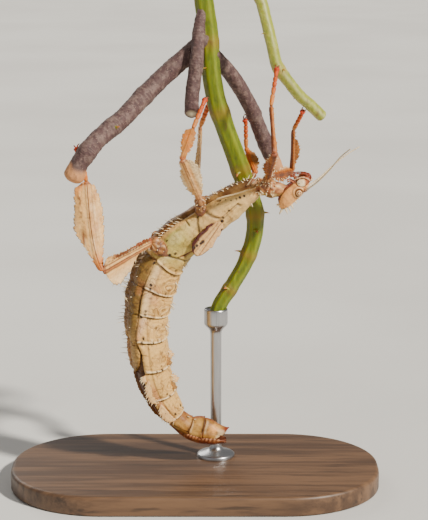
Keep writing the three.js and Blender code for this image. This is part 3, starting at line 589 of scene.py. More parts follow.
def trunk_form(t, angle, reach):
    """The whole trunk: its bare shape, the reliefs, and the masks."""
    angle = angle - 0.35 * sin(angle)  # the left side carries finer columns
    run = interp(t, PACE, MILES)
    ring = LAST * interp(run, RUN, MARCH)
    phi = np.degrees(np.arcsin(clip(sin(angle), -1, 1)))  # 90 back, 0 side, -90 belly
    bow = interp(ring, [5.5, 6, 6.86, 7.8, 8.8, 9.78, 13, 15], [0, 0.2, 0.14, 0.1, 0.12, 0.08, 0.1, 0])
    slip = interp(ring, [5.5, 6, 6.5, 10.3, 10.9, 12, 12.5], [0, -0.09, 0, 0, -0.08, -0.13, 0])
    station = ring + slip + bow * sin(pi * clip(phi / 90, 0, 1))  # seams bow to the tail

    def past(low, high):
        return ramp(station, low, high)

    def before(low, high):
        return fall(station, low, high)

    def within(low, high, soft):
        return spread(station, low, high, soft)

    f = part_share(ring)
    seam = minimum(f, 1 - f)
    centre, along, back, depth, width, _ = trunk_frame(station)
    a, b = trunk_section(station, angle, f)
    flat = centre + LEFT * a[:, None] + back * b[:, None]
    uneven, grain, broad = wobble(flat, 3.6, 11), wobble(flat, 1.3, 12), wobble(flat, 9, 13)

    abdomen = ramp(ring, 5.9, 6)
    tail = ramp(ring, 11.95, 12.1)
    groove_line = ([6, 7, 7.7, 8.12, 8.67, 8.86, 9.03, 9.2], [-5, -6, -4, -7, -16, -16, -8, 0])
    groove = interp(station, groove_line[0] + [9.8, 10.1, 11], groove_line[1] + [-2, -10, -14])
    plate = ramp(phi, groove, groove + 6)  # the back plates begin at the groove
    breast = 1 - plate

    relief = 0.62 * f**2 * plate * abdomen * (1 - 0.4 * tail)  # each plate rises to its hind edge
    softness = 14 * ramp(-ring, -9.2, -8.6) + 1e-6  # degrees, and never quite none
    seam_on = ramp(phi, groove + 6, groove + 6 + softness) * abdomen
    relief -= 0.3 * bump(f, 0, 0.02) * seam_on
    relief += 0.2 * bump(f, 0.965, 0.025) * seam_on
    relief -= 0.14 * bump(f, 0.9, 0.02) * plate * abdomen * (1 - tail)
    relief -= 0.3 * bump(seam, 0, 0.03) * breast * abdomen

    groove_on = past(5.2, 6.2) * before(8.95, 9.15)
    cut = bump(phi, groove, 3) * groove_on
    sharp = interp(station, [6.9, 7.02, 7.74, 7.84, 8.7, 8.84, 9], [0.1, 1, 1, 0.2, 0.2, 1, 0.5])
    relief -= (0.15 + 0.6 * sharp) * cut
    relief += 0.5 * bump(phi, groove + 9, 7) * groove_on  # the rounded fold above the groove
    border = bump(phi, 14, 2) * abdomen * (1 - tail)
    relief -= 0.22 * border
    relief += 0.28 * bump(phi, groove - 22, 9) * groove_on
    # The belly plates end in a free tip, and behind them the belly is a deep hollow.
    tip_edge = interp(station, [8.84, 9.2, 9.53, 9.74, 9.86], [-16, -6, -17, -45, -85])
    wall = interp(station, [8.84, 9.2, 9.8, 10.1, 11], [-13, 1, -1, -9, -13])
    hollow = past(8.84, 8.95) * ramp(phi, tip_edge - 2, tip_edge + 3) * ramp(wall - phi, 0, 4)
    hollow = hollow * (1 - tail)
    relief -= 1.3 * hollow * before(11, 12)
    keel = past(5.6, 6.4) * before(9.6, 9.86)
    relief += 0.5 * bump(phi, -90, 12) * keel
    relief -= 0.45 * bump(phi, -66, 14) * keel

    # The thorax has a ridge, a dark side line, two swellings, and arcs where its plates end.
    thorax = past(1.95, 2.3) * before(5.6, 5.95)
    ridge_at = interp(station, [2.2, 2.49, 2.7, 2.94, 3.18, 4.8], [-9, -14, -20, -28, -37, -40])
    ridge = bump(phi, ridge_at, 2.3) * thorax * before(3.12, 3.28)
    relief += 0.75 * ridge
    relief -= 0.65 * bump(phi, ridge_at - 15, 9) * thorax
    line_at = interp(station, [2.7, 3.09, 3.38, 4.2, 4.76, 5.08, 5.35], [13, 18, 24, 44, 50, 43, 32])
    thorax_line = thorax * past(2.7, 2.78)
    side_line = bump(phi, line_at, 2.2) * thorax_line
    relief -= 0.4 * side_line
    relief += 0.35 * bump(phi, line_at + 16, 11) * thorax
    dome = exp(-(((station - 4.85) / 0.55) ** 2) - ((phi + 6) / 20) ** 2)
    dome += exp(-(((station - 3.25) / 0.65) ** 2) - ((phi + 6) / 16) ** 2)
    relief += 0.75 * dome
    plate_edge = 3.56 - 0.18 * clip((phi + 20) / 42, 0, 1) ** 2
    arc = most(
        bump(station, 5.62 - 0.006 * phi, 0.05) * ramp(phi, -24, -12),
        bump(station, 3.92 + 0.006 * phi, 0.04) * spread(phi, -30, 24, 6),
        bump(station, 4.18, 0.035) * spread(phi, -36, -8, 6),
        bump(station, plate_edge, 0.05) * spread(phi, -20, 23, 4),
        bump(station, 2.8 - 0.005 * (phi - 13), 0.045) * spread(phi, 14, 27, 3),
    )
    relief -= 0.45 * arc * thorax
    relief -= 0.45 * bump(station, 2, 0.07)

    # Wrinkles: nested whorls, folds along and across, and a row of squares on one hind edge.
    wrinkle_on = (ring > 6) * (ring < 11.9) * plate
    strength = interp(ring, [6, 8.2, 9, 12], [1, 0.9, 0.45, 0.45])
    whorl = hypot((f - 0.6) / 0.4, (phi - 50) / 34)
    whorl += 0.13 * uneven + 0.05 * grain + 0.1 * broad
    whorls = cos(2 * pi * 2.4 * whorl + 0.8 * uneven) * exp(-1.2 * whorl**2) * wrinkle_on
    whorled = wrinkle_on * strength * exp(-0.5 * whorl**2) * ramp(phi, 4, 14) * spread(f, 0.1, 0.94, 0.04)
    relief += 0.15 * whorls * strength
    folds = sin(2 * pi * (run / 0.9 + 0.35 * uneven))
    relief += 0.09 * folds * bump(f, 0.86, 0.14) * wrinkle_on
    long_folds = sin(np.radians(phi) * 26 + 1.5 * uneven)
    relief += 0.07 * long_folds * wrinkle_on * ramp(-f, -0.7, -0.3)
    squares = most(sin(np.radians(phi) * 19), 0) ** 0.6 * spread(f, 0.84, 0.965, 0.02)
    squares = squares * (ring > 7.8) * (ring < 8.8) * spread(phi, 14, 80, 4)
    relief += 0.35 * squares
    loose_folds = sin(2 * pi * (run / 1.1 + 0.75 * uneven + 0.3 * broad))
    belly_folds = loose_folds * breast * abdomen * (1 - hollow) * (1 - tail)
    relief += 0.09 * belly_folds
    relief += interp(station, [12.3, 13, 13.9, 14.6, 15], [0, 0.6, 1.6, 1.4, 1.2]) * ramp(-phi, 0, 50)
    neck = before(1.8, 2.3)
    relief += (0.13 + 0.1 * neck) * uneven + (0.06 + 0.12 * neck) * grain

    girth = most(hypot(a, b), 0.5)
    front = before(0, 0.55)  # the neck narrows and runs on into the head
    reliefs = reach * (1 + relief / girth) * (1 - 0.35 * front)
    spot = centre + LEFT * (a * reliefs)[:, None] + back * (b * reliefs)[:, None]
    end = past(14.5, 15)
    flare = end * reach * (1.7 * sin(angle) + 0.25 * cos(3 * angle))
    spot = spot + along * (flare - 1.8 * front - 0.5 * end)[:, None]
    spot = spot - back * (0.9 * past(14.1, 15))[:, None]

    lap = most(bump(f, 0.002, 0.016), 0.8 * bump(f, 1, 0.016))
    crease = bump(f, 0.97, 0.1) * past(12.6, 12.8) * spread(phi, -25, 62, 10)
    # A painted shade line just below the white ridge.
    ridge_shade_line = bump(phi, ridge_at + 4.8, 1.9) * thorax * before(3.15, 3.3)
    dark = most(
        0.95 * lap * seam_on * (0.85 + 0.3 * uneven),
        0.6 * tail * crease * before(14.2, 14.4),
        0.45 * bump(f, 0.9, 0.012) * wrinkle_on * ramp(uneven, -0.3, 0.5),
        # Painted shade in the pleural groove.
        0.75 * sharp * bump(phi, groove - 1, 1.6) * groove_on,
        # Painted shade in the hollow behind the belly plates.
        0.62 * hollow * before(10.4, 11.4),
        0.85 * bump(phi, line_at, 1.3) * thorax_line * ramp(broad + uneven, -0.9, 0),
        0.5 * bump(phi, line_at + 5, 1.2) * within(2.8, 3.35, 0.04),
        0.72 * arc * thorax,
        0.8 * bump(abs(squares - 0.25), 0, 0.16) * (squares > 0.01),
        # Painted shade below the ridge.
        0.75 * ridge_shade_line * past(2.5, 2.7),
        # Painted shade on the breast strip, deepest towards the fore hips.
        0.5 * thorax * ramp(-phi, 6 - ridge_at, 14 - ridge_at) * before(2.7, 3.5),
    )
    for at, degrees, radius, level in MARKS:
        ahead = run - interp(at / LAST, MARCH, RUN)
        aside = np.radians(phi - degrees) * girth
        mark = ramp(-hypot(0.85 * ahead, 1.3 * aside), -1.4 * radius, -0.8 * radius)
        dark = most(dark, level * mark)

    lit_fold = bump(phi, groove + 10, 7) * groove_on
    tip = within(8.4, 9.7, 0.3)  # the belly plates are paler near their free tip
    masks = {
        "green": (0.2 + 0.6 * past(3.6, 4.2)) * past(2.3, 2.9) * (0.75 + 0.35 * broad)
        * before(5.5, 6.3) * ramp(phi, -32, -20),
        # The belly's ochre, partly its own colour and partly painted shade.
        "belly": ramp(-phi, -groove, 3 - groove) * abdomen * before(11.5, 12.2)
        * (1 - 0.6 * tip),
        "amber": tail * (0.85 + 0.25 * uneven)
        * (1 - 0.6 * before(12.2, 12.9) * ramp(-phi, -10, 20)),
        # Grey-green of the pronotum, darkened with painted shade: its back faces away from the key light.
        "sage": 0.25 * ramp(phi, 8, 22) * past(0.2, 0.5) * before(1.7, 2.1),
        "rose": most(
            0.9 * before(1.9, 2.4) * fall(phi, 10, 36) * (0.75 + 0.5 * grain),
            0.6 * lit_fold * within(7.9, 8.7, 0.08),
            0.55 * spread(phi, 0, 14, 5) * ramp(ring, 10, 10.4) * (1 - tail),
            0.4 * ramp(broad + 0.5 * uneven, 0.4, 1.4) * abdomen,
        ),
        "earth": most(
            # Brown of the breast strip above the ridge, darkened with painted shade: it faces away from the
            # key light.
            0.95 * thorax * ramp(-phi, -ridge_at + 3, -ridge_at + 8) * (0.9 + 0.3 * uneven),
            # 0.5 * cut is painted shade in the pleural groove.
            0.65 * within(2.2, 2.52, 0.08) * ramp(phi, 40, 66), 0.45 * border, 0.5 * cut,
            # Painted shadow just behind each lapped hind edge.
            0.55 * bump(f, 0.03, 0.035) * plate * abdomen,
            # Painted shade in the troughs of the whorls and wherever the plates' relief sinks.
            0.45 * ramp(-whorls, 0.15, 0.6) * strength, 0.3 * ramp(-relief + 0.2 * f, 0.1, 0.5) * wrinkle_on,
            0.7 * tail * bump(seam, 0, 0.09), 0.55 * tail * ramp(grain + uneven, 0, 1),
            0.35 * ramp(grain + 0.5 * broad, 0.5, 1.3) * wrinkle_on,
            # Painted shade on the belly's far edge, and in the troughs of its loose folds.
            0.45 * breast * abdomen * ramp(-phi, 40, 66) * (1 - tip), 0.38 * ramp(-belly_folds, 0.2, 0.9),
            0.5 * side_line * before(5.2, 5.6), 0.8 * neck * ramp(grain, 0, 0.7),
        ),
        "white": most(
            ridge, 0.75 * bump(f, 0.955, 0.03) * plate * abdomen * (1 - tail),
            # A painted highlight on the rounded fold above the groove.
            0.4 * bump(phi, groove + 12, 8) * groove_on * before(8.2, 8.8),
            # 0.25 * ramp(whorls, ...) is a painted highlight on the crests of the whorls.
            0.25 * ramp(whorls, 0.3, 0.8) * strength, 0.8 * most(squares - 0.4, 0),
            0.16 * thorax * ramp(phi, ridge_at + 5, ridge_at + 14) * before(4.2, 4.8),
            # 0.2 * ramp(dome, ...) is a painted highlight on the two swellings of the thorax.
            0.2 * ramp(dome, 0.4, 1), 0.6 * neck * ramp(-grain, 0.3, 1),
            0.4 * tail * bump(f, 0.12, 0.06) * past(12.9, 13) * spread(phi, -20, 60, 10),
            0.5 * past(14.6, 14.85) * fall(phi, 20, 50),
        ),
        "rust": most(
            0.55 * tail * bump(seam, 0, 0.03), 0.85 * tail * ramp(-phi, 34, 44),
            0.55 * tail * ramp(phi, 66, 80), 0.7 * bump(phi, 22, 3) * before(1.9, 2.1),
            # 0.5 * hollow is painted shade in the hollow behind the belly plates.
            0.95 * past(14.7, 14.95) * ramp(phi, 10, 60), 0.5 * hollow,
            0.95 * within(4.6, 5.3, 0.1) * bump(phi, line_at, 2.6),
        ),
        "peach": 0.8 * bump(station, 14.5, 0.2) * bump(phi, 20, 30),
        "plum": 0.35 * within(1.9, 2.3, 0.12) * ramp(-phi, 14, 40),
        # Painted shade on the belly's far side.
        "under": abdomen * ramp(-phi, 36, 60) * (1 - tail),
        "creased": 0.9 * past(2.6, 3.2) * (1 - tail) * (1 - 0.4 * thorax),
        "whorl": whorl / WHORL_SPAN, "whorled": whorled, "dark": dark,
    }
    return spot, masks


trunk = shaped(bench_tube("trunk", 132, 620), trunk_form)
print("trunk vertices:", len(trunk.data.vertices))

# %% [markdown]
# ## The head
# The head is a tall rounded cone that hangs from the neck with its mouth up, because the animal is
# upside down.  Its crown carries a tuft of spines, a red rim runs down its hind edge, and round
# sockets take the eyes.  It is shaped from the same nine stations as the solid.

# %% The head's own frame and its stations: along the axis, then brow, nape and cheek
HEAD_CENTRE = array([30.3, 0, 99.7])
HEAD_AXIS = unit([0.618, 0, 0.786])
BROW_WAY = cross(HEAD_AXIS, LEFT)
HEAD = array([
    [-6.6, 0.5, 0.2, 0.5], [-5.9, 1.3, 0.9, 1.4], [-4.7, 2, 2.1, 2.4], [-2.9, 2.4, 2.8, 3],
    [-0.8, 2.7, 2.8, 3.4], [1.2, 2.9, 2.3, 3.3], [3.4, 2.8, 1.7, 2.6], [5.2, 2.4, 1.2, 1.9],
    [6.3, 1.2, 0.5, 0.9],
])
EYE_ALONG, EYE_BROW, EYE_LEFT, EYE_RADIUS = 1, 1.3, 2.85, 1.15


def on_head(along, brow, left):
    """A place from the head's own frame."""
    return HEAD_CENTRE + HEAD_AXIS * along + BROW_WAY * brow + LEFT * left


def head_form(t, angle, reach):
    """The head with its rim, sockets, jaw dome, brow ridge and fine wrinkles."""
    t = ramp(t, -0.25, 1.25)
    t = (t - t.min()) / (t.max() - t.min())
    sizes = catmull(HEAD[:, 1:], t)
    along = catmull(column_stack([HEAD[:, 0], 0 * HEAD[:, 0], 0 * HEAD[:, 0]]), t)[:, 0]
    brow, nape, cheek = sizes.T
    a = cheek * cos(angle)
    b = (brow - nape) / 2 + (brow + nape) / 2 * sin(angle)
    phi = np.degrees(np.arcsin(clip(sin(angle), -1, 1)))
    rough_spot = HEAD_CENTRE + HEAD_AXIS * along[:, None] + BROW_WAY * b[:, None] + LEFT * a[:, None]
    uneven, grain = wobble(rough_spot, 2.4, 21), wobble(rough_spot, 0.9, 22)
    eye_gap = sqrt((along - EYE_ALONG) ** 2 + (b - EYE_BROW) ** 2 + (abs(a) - EYE_LEFT) ** 2)
    outer = ramp(abs(a) / most(cheek, 0.1), 0.25, 0.6)
    level = HEAD_AXIS[0] * (along - 4) + BROW_WAY[0] * (b - 0.38)
    plumb = HEAD_AXIS[2] * (along - 4) + BROW_WAY[2] * (b - 0.38)
    dome_gap = 1.35 * hypot(level / 1.75, plumb / 1.1)
    dome = sqrt(clip(1 - (dome_gap / 1.35) ** 2, 0, None)) * outer
    turn = np.arctan2(plumb, level)
    arch_side = ramp(plumb + 0.35 * abs(level), 0.1, 0.8) * outer
    scallops = 0.6 + 0.4 * cos(14 * turn)

    relief = 0.26 * bump(eye_gap, 1.55, 0.22) - 0.35 * ramp(-eye_gap, -1.25, -0.85)
    relief += 0.1 * bump(eye_gap, 2.05, 0.14)
    rim = bump(phi, -66, 9) * ramp(along, -6.4, -5.2) * fall(along, 3.6, 4.6)
    relief += 0.22 * rim - 0.3 * bump(phi, -56, 5) * ramp(along, -5, -4) * fall(along, 2, 3)
    relief += 0.16 * bump(phi, 58, 7) * ramp(along, -5.5, -4) * fall(along, 0, 2)
    relief += 0.6 * dome - 0.35 * bump(dome_gap, 1.55, 0.16) * outer
    relief += 0.3 * bump(dome_gap, 2.15, 0.22) * arch_side * scallops
    relief += 0.06 * uneven + 0.03 * grain
    scale = reach * (1 + relief / most(hypot(a, b), 0.6))
    spot = HEAD_CENTRE + HEAD_AXIS * along[:, None]
    spot = spot + BROW_WAY * (b * scale)[:, None] + LEFT * (a * scale)[:, None]
    between = spread(dome_gap, 1.5, 1.95, 0.1) * outer
    masks = {
        "peach": 0.9 + 0.1 * uneven,
        "rust": most(
            0.98 * ramp(-phi, 52, 60) * ramp(along, -6.4, -5), 0.85 * between * arch_side,
            0.8 * ramp(dome_gap, 2.35, 2.6) * arch_side, 0.85 * ramp(along, 5.2, 5.9),
            0.8 * ramp(dome, 0.05, 0.3) * ramp(level, 0.2, 1.1),
        ),
        "rose": most(
            0.65 * ramp(-along, 2, 5.5), 0.25 * ramp(grain, 0.5, 1.2),
            0.8 * ramp(dome, 0.05, 0.3) * ramp(level, 0.7, 1.3),
        ),
        "earth": most(
            # 0.65 * bump(dome_gap, ...) is painted shadow in the groove round the pale jaw dome.
            0.75 * bump(eye_gap, 1.98, 0.12), 0.65 * bump(dome_gap, 1.5, 0.14) * outer,
            0.35 * ramp(uneven, 0.6, 1.5),
        ),
        "white": most(
            0.4 * bump(eye_gap, 1.66, 0.16), 0.9 * ramp(dome, 0.05, 0.35) * fall(level, 0.3, 1),
            0.75 * bump(dome_gap, 2.15, 0.16) * arch_side * scallops,
        ),
        "dark": most(
            0.9 * bump(eye_gap, 1.28, 0.15), 0.35 * between * arch_side,
            0.85 * ramp(-hypot(level + 1, 1.6 * plumb + 0.2), -0.36, -0.16) * outer,
            0.65 * ramp(-phi, 46, 52) * fall(-phi, 56, 64) * ramp(along, -6, -5),
        ),
    }
    return spot, masks


head = shaped(bench_tube("head", 88, 100), head_form)

# %% [markdown]
# ## Hips
# Each leg hangs on a coxa, a short barrel, and a trochanter, the knob after it.  Both are flesh like
# the trunk, so they are shaped on the bench as one tube with a waist and then joined to the skin.

# %% Where each leg runs, and the outlines of its lobes
def rounded(begin, end, width, teeth, peak):
    """A plain rounded lobe: shares of the length, its width at each, and teeth per length."""
    s = linspace(0, 1, 13)
    rise = where(s < peak, s / peak, (1 - s) / (1 - peak))
    return begin + (end - begin) * s, width * sin(pi / 2 * rise) ** 0.6, teeth


GAP = 0.3  # millimetres between a foot and the stem that it grips
# Where the left hip of each pair leaves the trunk, and the hip's radius.
HIP_ROOTS = {
    "fore": ((21.6, -1.6, 101.6), 1.35), "mid": ((2, -3.6, 94.2), 1.7), "hind": ((-9.2, -4.2, 82), 2.2),
}
# Radius of the shafts at their two ends, and of the foot.
SHAFTS = {
    "fore": {"femur": (1, 1.2), "tibia": (1, 0.75), "tarsus": 0.72},
    "mid": {"femur": (1.1, 1.3), "tibia": (1.05, 0.8), "tarsus": 0.75},
    "hind": {"femur": (1, 1.7), "tibia": (1.3, 0.9), "tarsus": 0.85},
}
# The lobes of the hind legs: shares of the length, the width at each, and teeth per length.
HIND_FEMUR_LOW = (
    [0, 0.26, 0.33, 0.42, 0.54, 0.68, 0.8, 0.88, 0.93, 1],
    [0.3, 1, 2, 3.7, 5.3, 6.4, 6.9, 5.6, 3, 0.6], 13,
)
HIND_FEMUR_HIGH = (
    [0, 0.06, 0.2, 0.4, 0.6, 0.78, 0.9, 0.96, 1], [2.2, 3, 3.4, 3.4, 3.5, 4.1, 4.7, 3.2, 0.9], 15,
)
HIND_TIBIA_OUTER = (
    [0, 0.08, 0.17, 0.28, 0.39, 0.51, 0.62, 0.74, 0.93, 0.97, 1],
    [0.9, 1.5, 2, 2.9, 4.3, 5.4, 5, 4.5, 4.3, 3.2, 0.9], 22,
)
HIND_TIBIA_INNER = (
    [0, 0.08, 0.15, 0.26, 0.36, 0.5, 0.66, 0.8, 0.9, 0.96, 1],
    [0.9, 1.6, 2.3, 3.2, 4, 4.5, 4.7, 4, 3.2, 2.2, 0.7], 20,
)
# A leg's hip, knee, ankle and toe, the stems it grips, and for femur and tibia the way its leaf
# faces, its two lobes, and the word for its colours.
LEGS = {
    "fore_left": {
        "hip": (22.4, -5.6, 104.6), "knee": (23.9, -21, 114.6), "ankle": (23, -13, 127.7),
        "toe": (24.9, -7.9, 138.7), "grips": ("perch_stem_fore",),
        "femur": (
            (1, 0.2, 0.1), rounded(0.12, 0.95, 1.5, 11, 0.6), rounded(0.1, 0.95, 2.8, 11, 0.5), "brown",
        ),
        "tibia": ((1, 0, 0), rounded(0.05, 0.45, 1.2, 12, 0.4), rounded(0.5, 0.95, 0.9, 12, 0.6), "edged"),
    },
    "fore_right": {
        "hip": (24, 5.6, 103.6), "knee": (30.8, 20, 102.6), "ankle": (30.6, 8.5, 117.4),
        "toe": (33.6, 3.6, 124.4), "grips": ("perch_stem_fore",),
        "femur": ((0, 0, 1), rounded(0.12, 0.95, 2.3, 11, 0.6), rounded(0.02, 0.98, 2.8, 9, 0.5), "brown"),
        "tibia": ((1, 0, 0), rounded(0.1, 0.85, 2.6, 13, 0.55), rounded(0.1, 0.5, 0.9, 13, 0.5), "edged"),
    },
    "mid_left": {
        "hip": (1.7, -8, 98.4), "knee": (-3.5, -20, 112.5), "ankle": (-0.3, -9, 120.4),
        "toe": (3.4, -0.6, 128.4), "grips": ("perch_twig_mid", "perch_cane"),
        "femur": (
            (1, 0, 0.3),
            ([0, 0.06, 0.2, 0.45, 0.68, 0.88, 0.96, 1], [0.9, 1.3, 2.4, 3.7, 4.1, 3.4, 2.2, 0.8], 15),
            ([0, 0.1, 0.26, 0.48, 0.67, 0.92, 1], [0.8, 1, 2.4, 3.1, 2.8, 1.2, 0.8], 15), "oval",
        ),
        "tibia": (
            (1, 0, -0.3), ([0, 0.13, 0.27, 0.51, 0.77, 0.93, 1], [0.5, 0.8, 1.5, 2, 1.9, 1.4, 0.5], 13),
            ([0, 0.1, 0.3, 0.54, 0.76, 0.92, 1], [0.5, 0.8, 1.7, 2.5, 2.7, 2.1, 0.6], 13), "tan",
        ),
    },
    "mid_right": {
        "hip": (3.6, 8.4, 95.4), "knee": (19.2, 16, 102.4), "ankle": (16.2, 22.4, 109.8),
        "toe": (16, 20.8, 119.4), "grips": ("perch_twig_far",),
        "femur": (
            (0, 1, -0.4), rounded(0.08, 0.97, 3.2, 14, 0.65), rounded(0.08, 0.97, 2.6, 14, 0.6), "brown",
        ),
        "tibia": ((1, 0, 0.3), rounded(0.06, 0.95, 2.8, 13, 0.5), rounded(0.1, 0.9, 2.2, 13, 0.5), "orange"),
    },
    "hind_left": {
        "hip": (-12.8, -9.4, 85.2), "knee": (-27.1, -23, 79.5), "ankle": (-32.3, -14, 105.2),
        "toe": (-35.2, -13.2, 115.4), "grips": ("perch_twig_hind",),
        "femur": ((-0.3, 0, -1), HIND_FEMUR_LOW, HIND_FEMUR_HIGH, "striped"),
        "tibia": ((1, 0.1, 0), HIND_TIBIA_INNER, HIND_TIBIA_OUTER, "cream"),
    },
    "hind_right": {
        "hip": (-12.2, 9.4, 83.6), "knee": (0.6, 24, 88.4), "ankle": (1.8, 17.4, 117.4),
        "toe": (5, 9.6, 127), "grips": ("perch_cane",),
        "femur": ((0, 1, -0.5), HIND_FEMUR_LOW, HIND_FEMUR_HIGH, "striped"),
        "tibia": ((0, 1, 0.2), HIND_TIBIA_OUTER, HIND_TIBIA_INNER, "cream"),
    },
}


# %% Shape the six hips and join them to the trunk and the head
def hip_form(root, hip, radius):
    """A barrel, a waist and a knob, laid from the trunk to the hip."""
    root, hip = array(root), array(hip)
    along = unit(hip - root)
    across = unit(cross(along, (1, 0, 0)))
    up = cross(across, along)
    length = norm(hip - root) + 0.7

    def form(t, angle, reach):
        spine = root + along * (t * length)[:, None]
        swell = 1.1 - 0.3 * t - 0.24 * bump(t, 0.66, 0.05) + 0.14 * bump(t, 0.82, 0.1)
        swell = swell * domed_end(t, 0.86, 0.145)
        ring = out_from(across, up, angle)
        uneven, grain = wobble(spine + ring, 1.7, 31), wobble(spine + ring, 0.8, 32)
        folds = sin(7 * angle + 2.5 * uneven) * ramp(t, 0.15, 0.35)
        r = radius * swell * (1 + 0.1 * uneven + 0.07 * folds + 0.05 * grain)
        spot = spine + ring * (r * reach)[:, None]
        masks = {
            # Painted shade: earth darkens the troughs of the folds.
            "rose": 0.55 + 0.2 * uneven, "earth": 0.3 + 0.6 * ramp(-folds - 0.6 * grain, -0.2, 0.7),
            "plum": most(
                0.9 * bump(t, 0.66, 0.06), 0.75 * fall(t, 0.3, 0.45) * ramp(grain, -0.9, 0.2),
                0.45 * ramp(-uneven, 0, 0.9),
            ),
            "dark": most(0.7 * bump(t, 0.66, 0.02), 0.6 * ramp(uneven + grain, 0.9, 1.6)),
            # Painted highlights on the crests of the folds.
            "white": 0.45 * ramp(folds - 0.6 * grain, 0.9, 1.4),
        }
        return spot, masks

    return form


def mirrored(spot, side):
    """The spot on the left side as it is, or its like on the right."""
    return (spot[0], spot[1] * side, spot[2])


hips = []
for name, leg in LEGS.items():
    pair, hand = name.split("_")
    root, radius = HIP_ROOTS[pair]
    side = 1 if hand == "left" else -1
    form = hip_form(mirrored(root, side), leg["hip"], radius)
    hips.append(shaped(bench_tube(f"hip_{name}", 36, 34), form))
body_skin = united("body_skin", [trunk, head, *hips])
FLESH = ["head", "prothorax", "mesothorax", "metathorax"]
FLESH += [f"abdomen_{number}" for number in range(2, 11)] + [f"coxa_{name}" for name in LEGS]
dress(body_skin, body_cuticle, "cuticle", *FLESH)

# %% [markdown]
# ## Leaf-like legs
# The femur and tibia are shafts with a thin toothed lobe on each side, so that a resting leg passes
# for a dry leaf.  One closed tube makes both: its sides are drawn out into blades, its teeth are cut
# by a saw-toothed width, and two keels and slanting veins are raised on its faces.

# %% A leaf-shaped length of a leg
TOOTH = 0.68  # how deep the teeth of a lobe are cut, in millimetres


def lobe_width(t, lobe):
    """How far a toothed lobe stands out from the shaft at shares t of the length."""
    shares, widths, teeth = lobe
    shifts = (-0.024, -0.012, 0, 0.012, 0.024)
    envelope = sum(interp(t + shift, shares, widths, left=0, right=0) for shift in shifts) / 5
    step = (t * teeth) % 1
    size = 0.75 + 0.35 * sin(2.7 * np.floor(t * teeth))
    notch = 1 - step**1.6 * ramp(-step, -1, -0.8)
    return most(envelope - TOOTH * size * notch * minimum(1, envelope), 0)


def leaf_place(leaf, t, x, lift):
    """A place on a leaf: t along it, x millimetres out on its face, lift off the face."""
    t, x = np.atleast_1d(t), np.atleast_1d(x)
    droop = leaf["curl"] * (x / 4) ** 2 + 0.16 * sin(9 * t + x) * ramp(abs(x), 1, 3)
    bend = leaf["bend"] * sin(pi * clip(t, 0, 1) ** 0.65)
    spine = leaf["start"] + leaf["run"] * t[:, None]
    return spine + leaf["out"] * (x + bend)[:, None] + leaf["sheer"] * (droop + lift)[:, None]


def new_leaf(start, end, facing, thick, lobes, curl=0.5, bend=0):
    """The facts of a leaf-shaped length, from which its skin and its thorns are made."""
    start = array(start, float)
    run = array(end, float) - start
    sheer = unit(cross(run, facing))
    return {
        "start": start, "run": run, "length": norm(run), "sheer": sheer,
        "out": unit(cross(sheer, run)), "thick": thick, "lobes": lobes, "curl": curl, "bend": bend,
    }


# Each palette gives masks from s, millimetres across the leaf, q, the share out to the rim, and t.
# A mask that is one number is the same all over the leaf.
def plain_leaf(s, q, t, uneven, grain):
    """Cream-pink, for wings and flaps."""
    return {"cream": 0.75, "rose": 0.25 * ramp(uneven, -0.2, 1)}


def cream_leaf(s, q, t, uneven, grain):
    """Cream with a dark midrib, a second line, and a row of brown smudges on the outer half."""
    smudge = ramp(uneven + 0.8 * grain, -0.4, 0.6) * bump(s, -2.5 * ramp(t, 0.1, 0.35), 0.45)
    smudge = most(smudge * ramp(t, 0.2, 0.35), bump(s, -2.4, 0.55) * bump(t, 0.42, 0.06))
    pink = bump(s, 0.7, 0.55) + bump(s, 2.2, 0.7) * ramp(uneven, -0.3, 0.6)
    return {
        "cream": 0.95, "tan": 0.4 * pink,
        "brown": most(0.9 * smudge, 0.85 * bump(s, 0.05, 0.2)),
        "orange": most(0.45 * ramp(t - 0.03 * s, 0.92, 1), 0.75 * fall(t, 0.06, 0.25)),
        "dark": most(0.45 * bump(s, 0.05, 0.12), 0.45 * bump(s, 1.35, 0.13) * ramp(t, 0.3, 0.4)),
    }


def oval_leaf(s, q, t, uneven, grain):
    """Pale cream at the rim, pinkish inside, with a double brown midrib."""
    pair = bump(abs(s), 0.45 * (1 - 0.4 * t), 0.15) * ramp(uneven + grain, -1, 0.1)
    return {
        "cream": 1, "white": 0.7 * ramp(abs(s), 1.2, 2.2), "brown": 0.85 * pair,
        "rose": 0.2 * fall(abs(s), 0.8, 2) + 0.4 * fall(t, 0.05, 0.22),
    }


def striped_leaf(s, q, t, uneven, grain):
    """A red-brown rim, pale bands parted by dark lines, and a cream lobe."""
    s = s / (0.62 + 0.38 * ramp(t, 0, 0.85))  # the lines draw together towards the hip
    smudge = ramp(uneven + 0.8 * grain, 0.9, 1.6) * ramp(s, 2, 2.6)
    rim = ramp(q, 0.28, 0.42) * (s < 0) * fall(t, 0.72, 0.84)
    pale = most(0.75 * bump(s, -0.75, 0.4), 0.2 * bump(s, 0.4, 0.3))
    line = most(0.9 * bump(s, -0.15, 0.22), 0.45 * bump(s, 0.95, 0.16))
    return {
        "cream": most(ramp(s, 1, 1.25), 0.95 * spread(s, -3.6, -1.45, 0.12), pale),
        "white": 0.45 * ramp(s, 2, 4.5), "tan": 0.75 * spread(s, -0.3, 0.9, 0.1),
        "rose": 0.35 * spread(s, -0.2, 0.8, 0.12),
        "brown": most(0.95 * rim, 0.5 * smudge, line, 0.85 * bump(s, -1.35, 0.2)),
        "red": 0.15 * rim * ramp(uneven, -0.8, 0.4), "dark": 0.4 * line,
    }


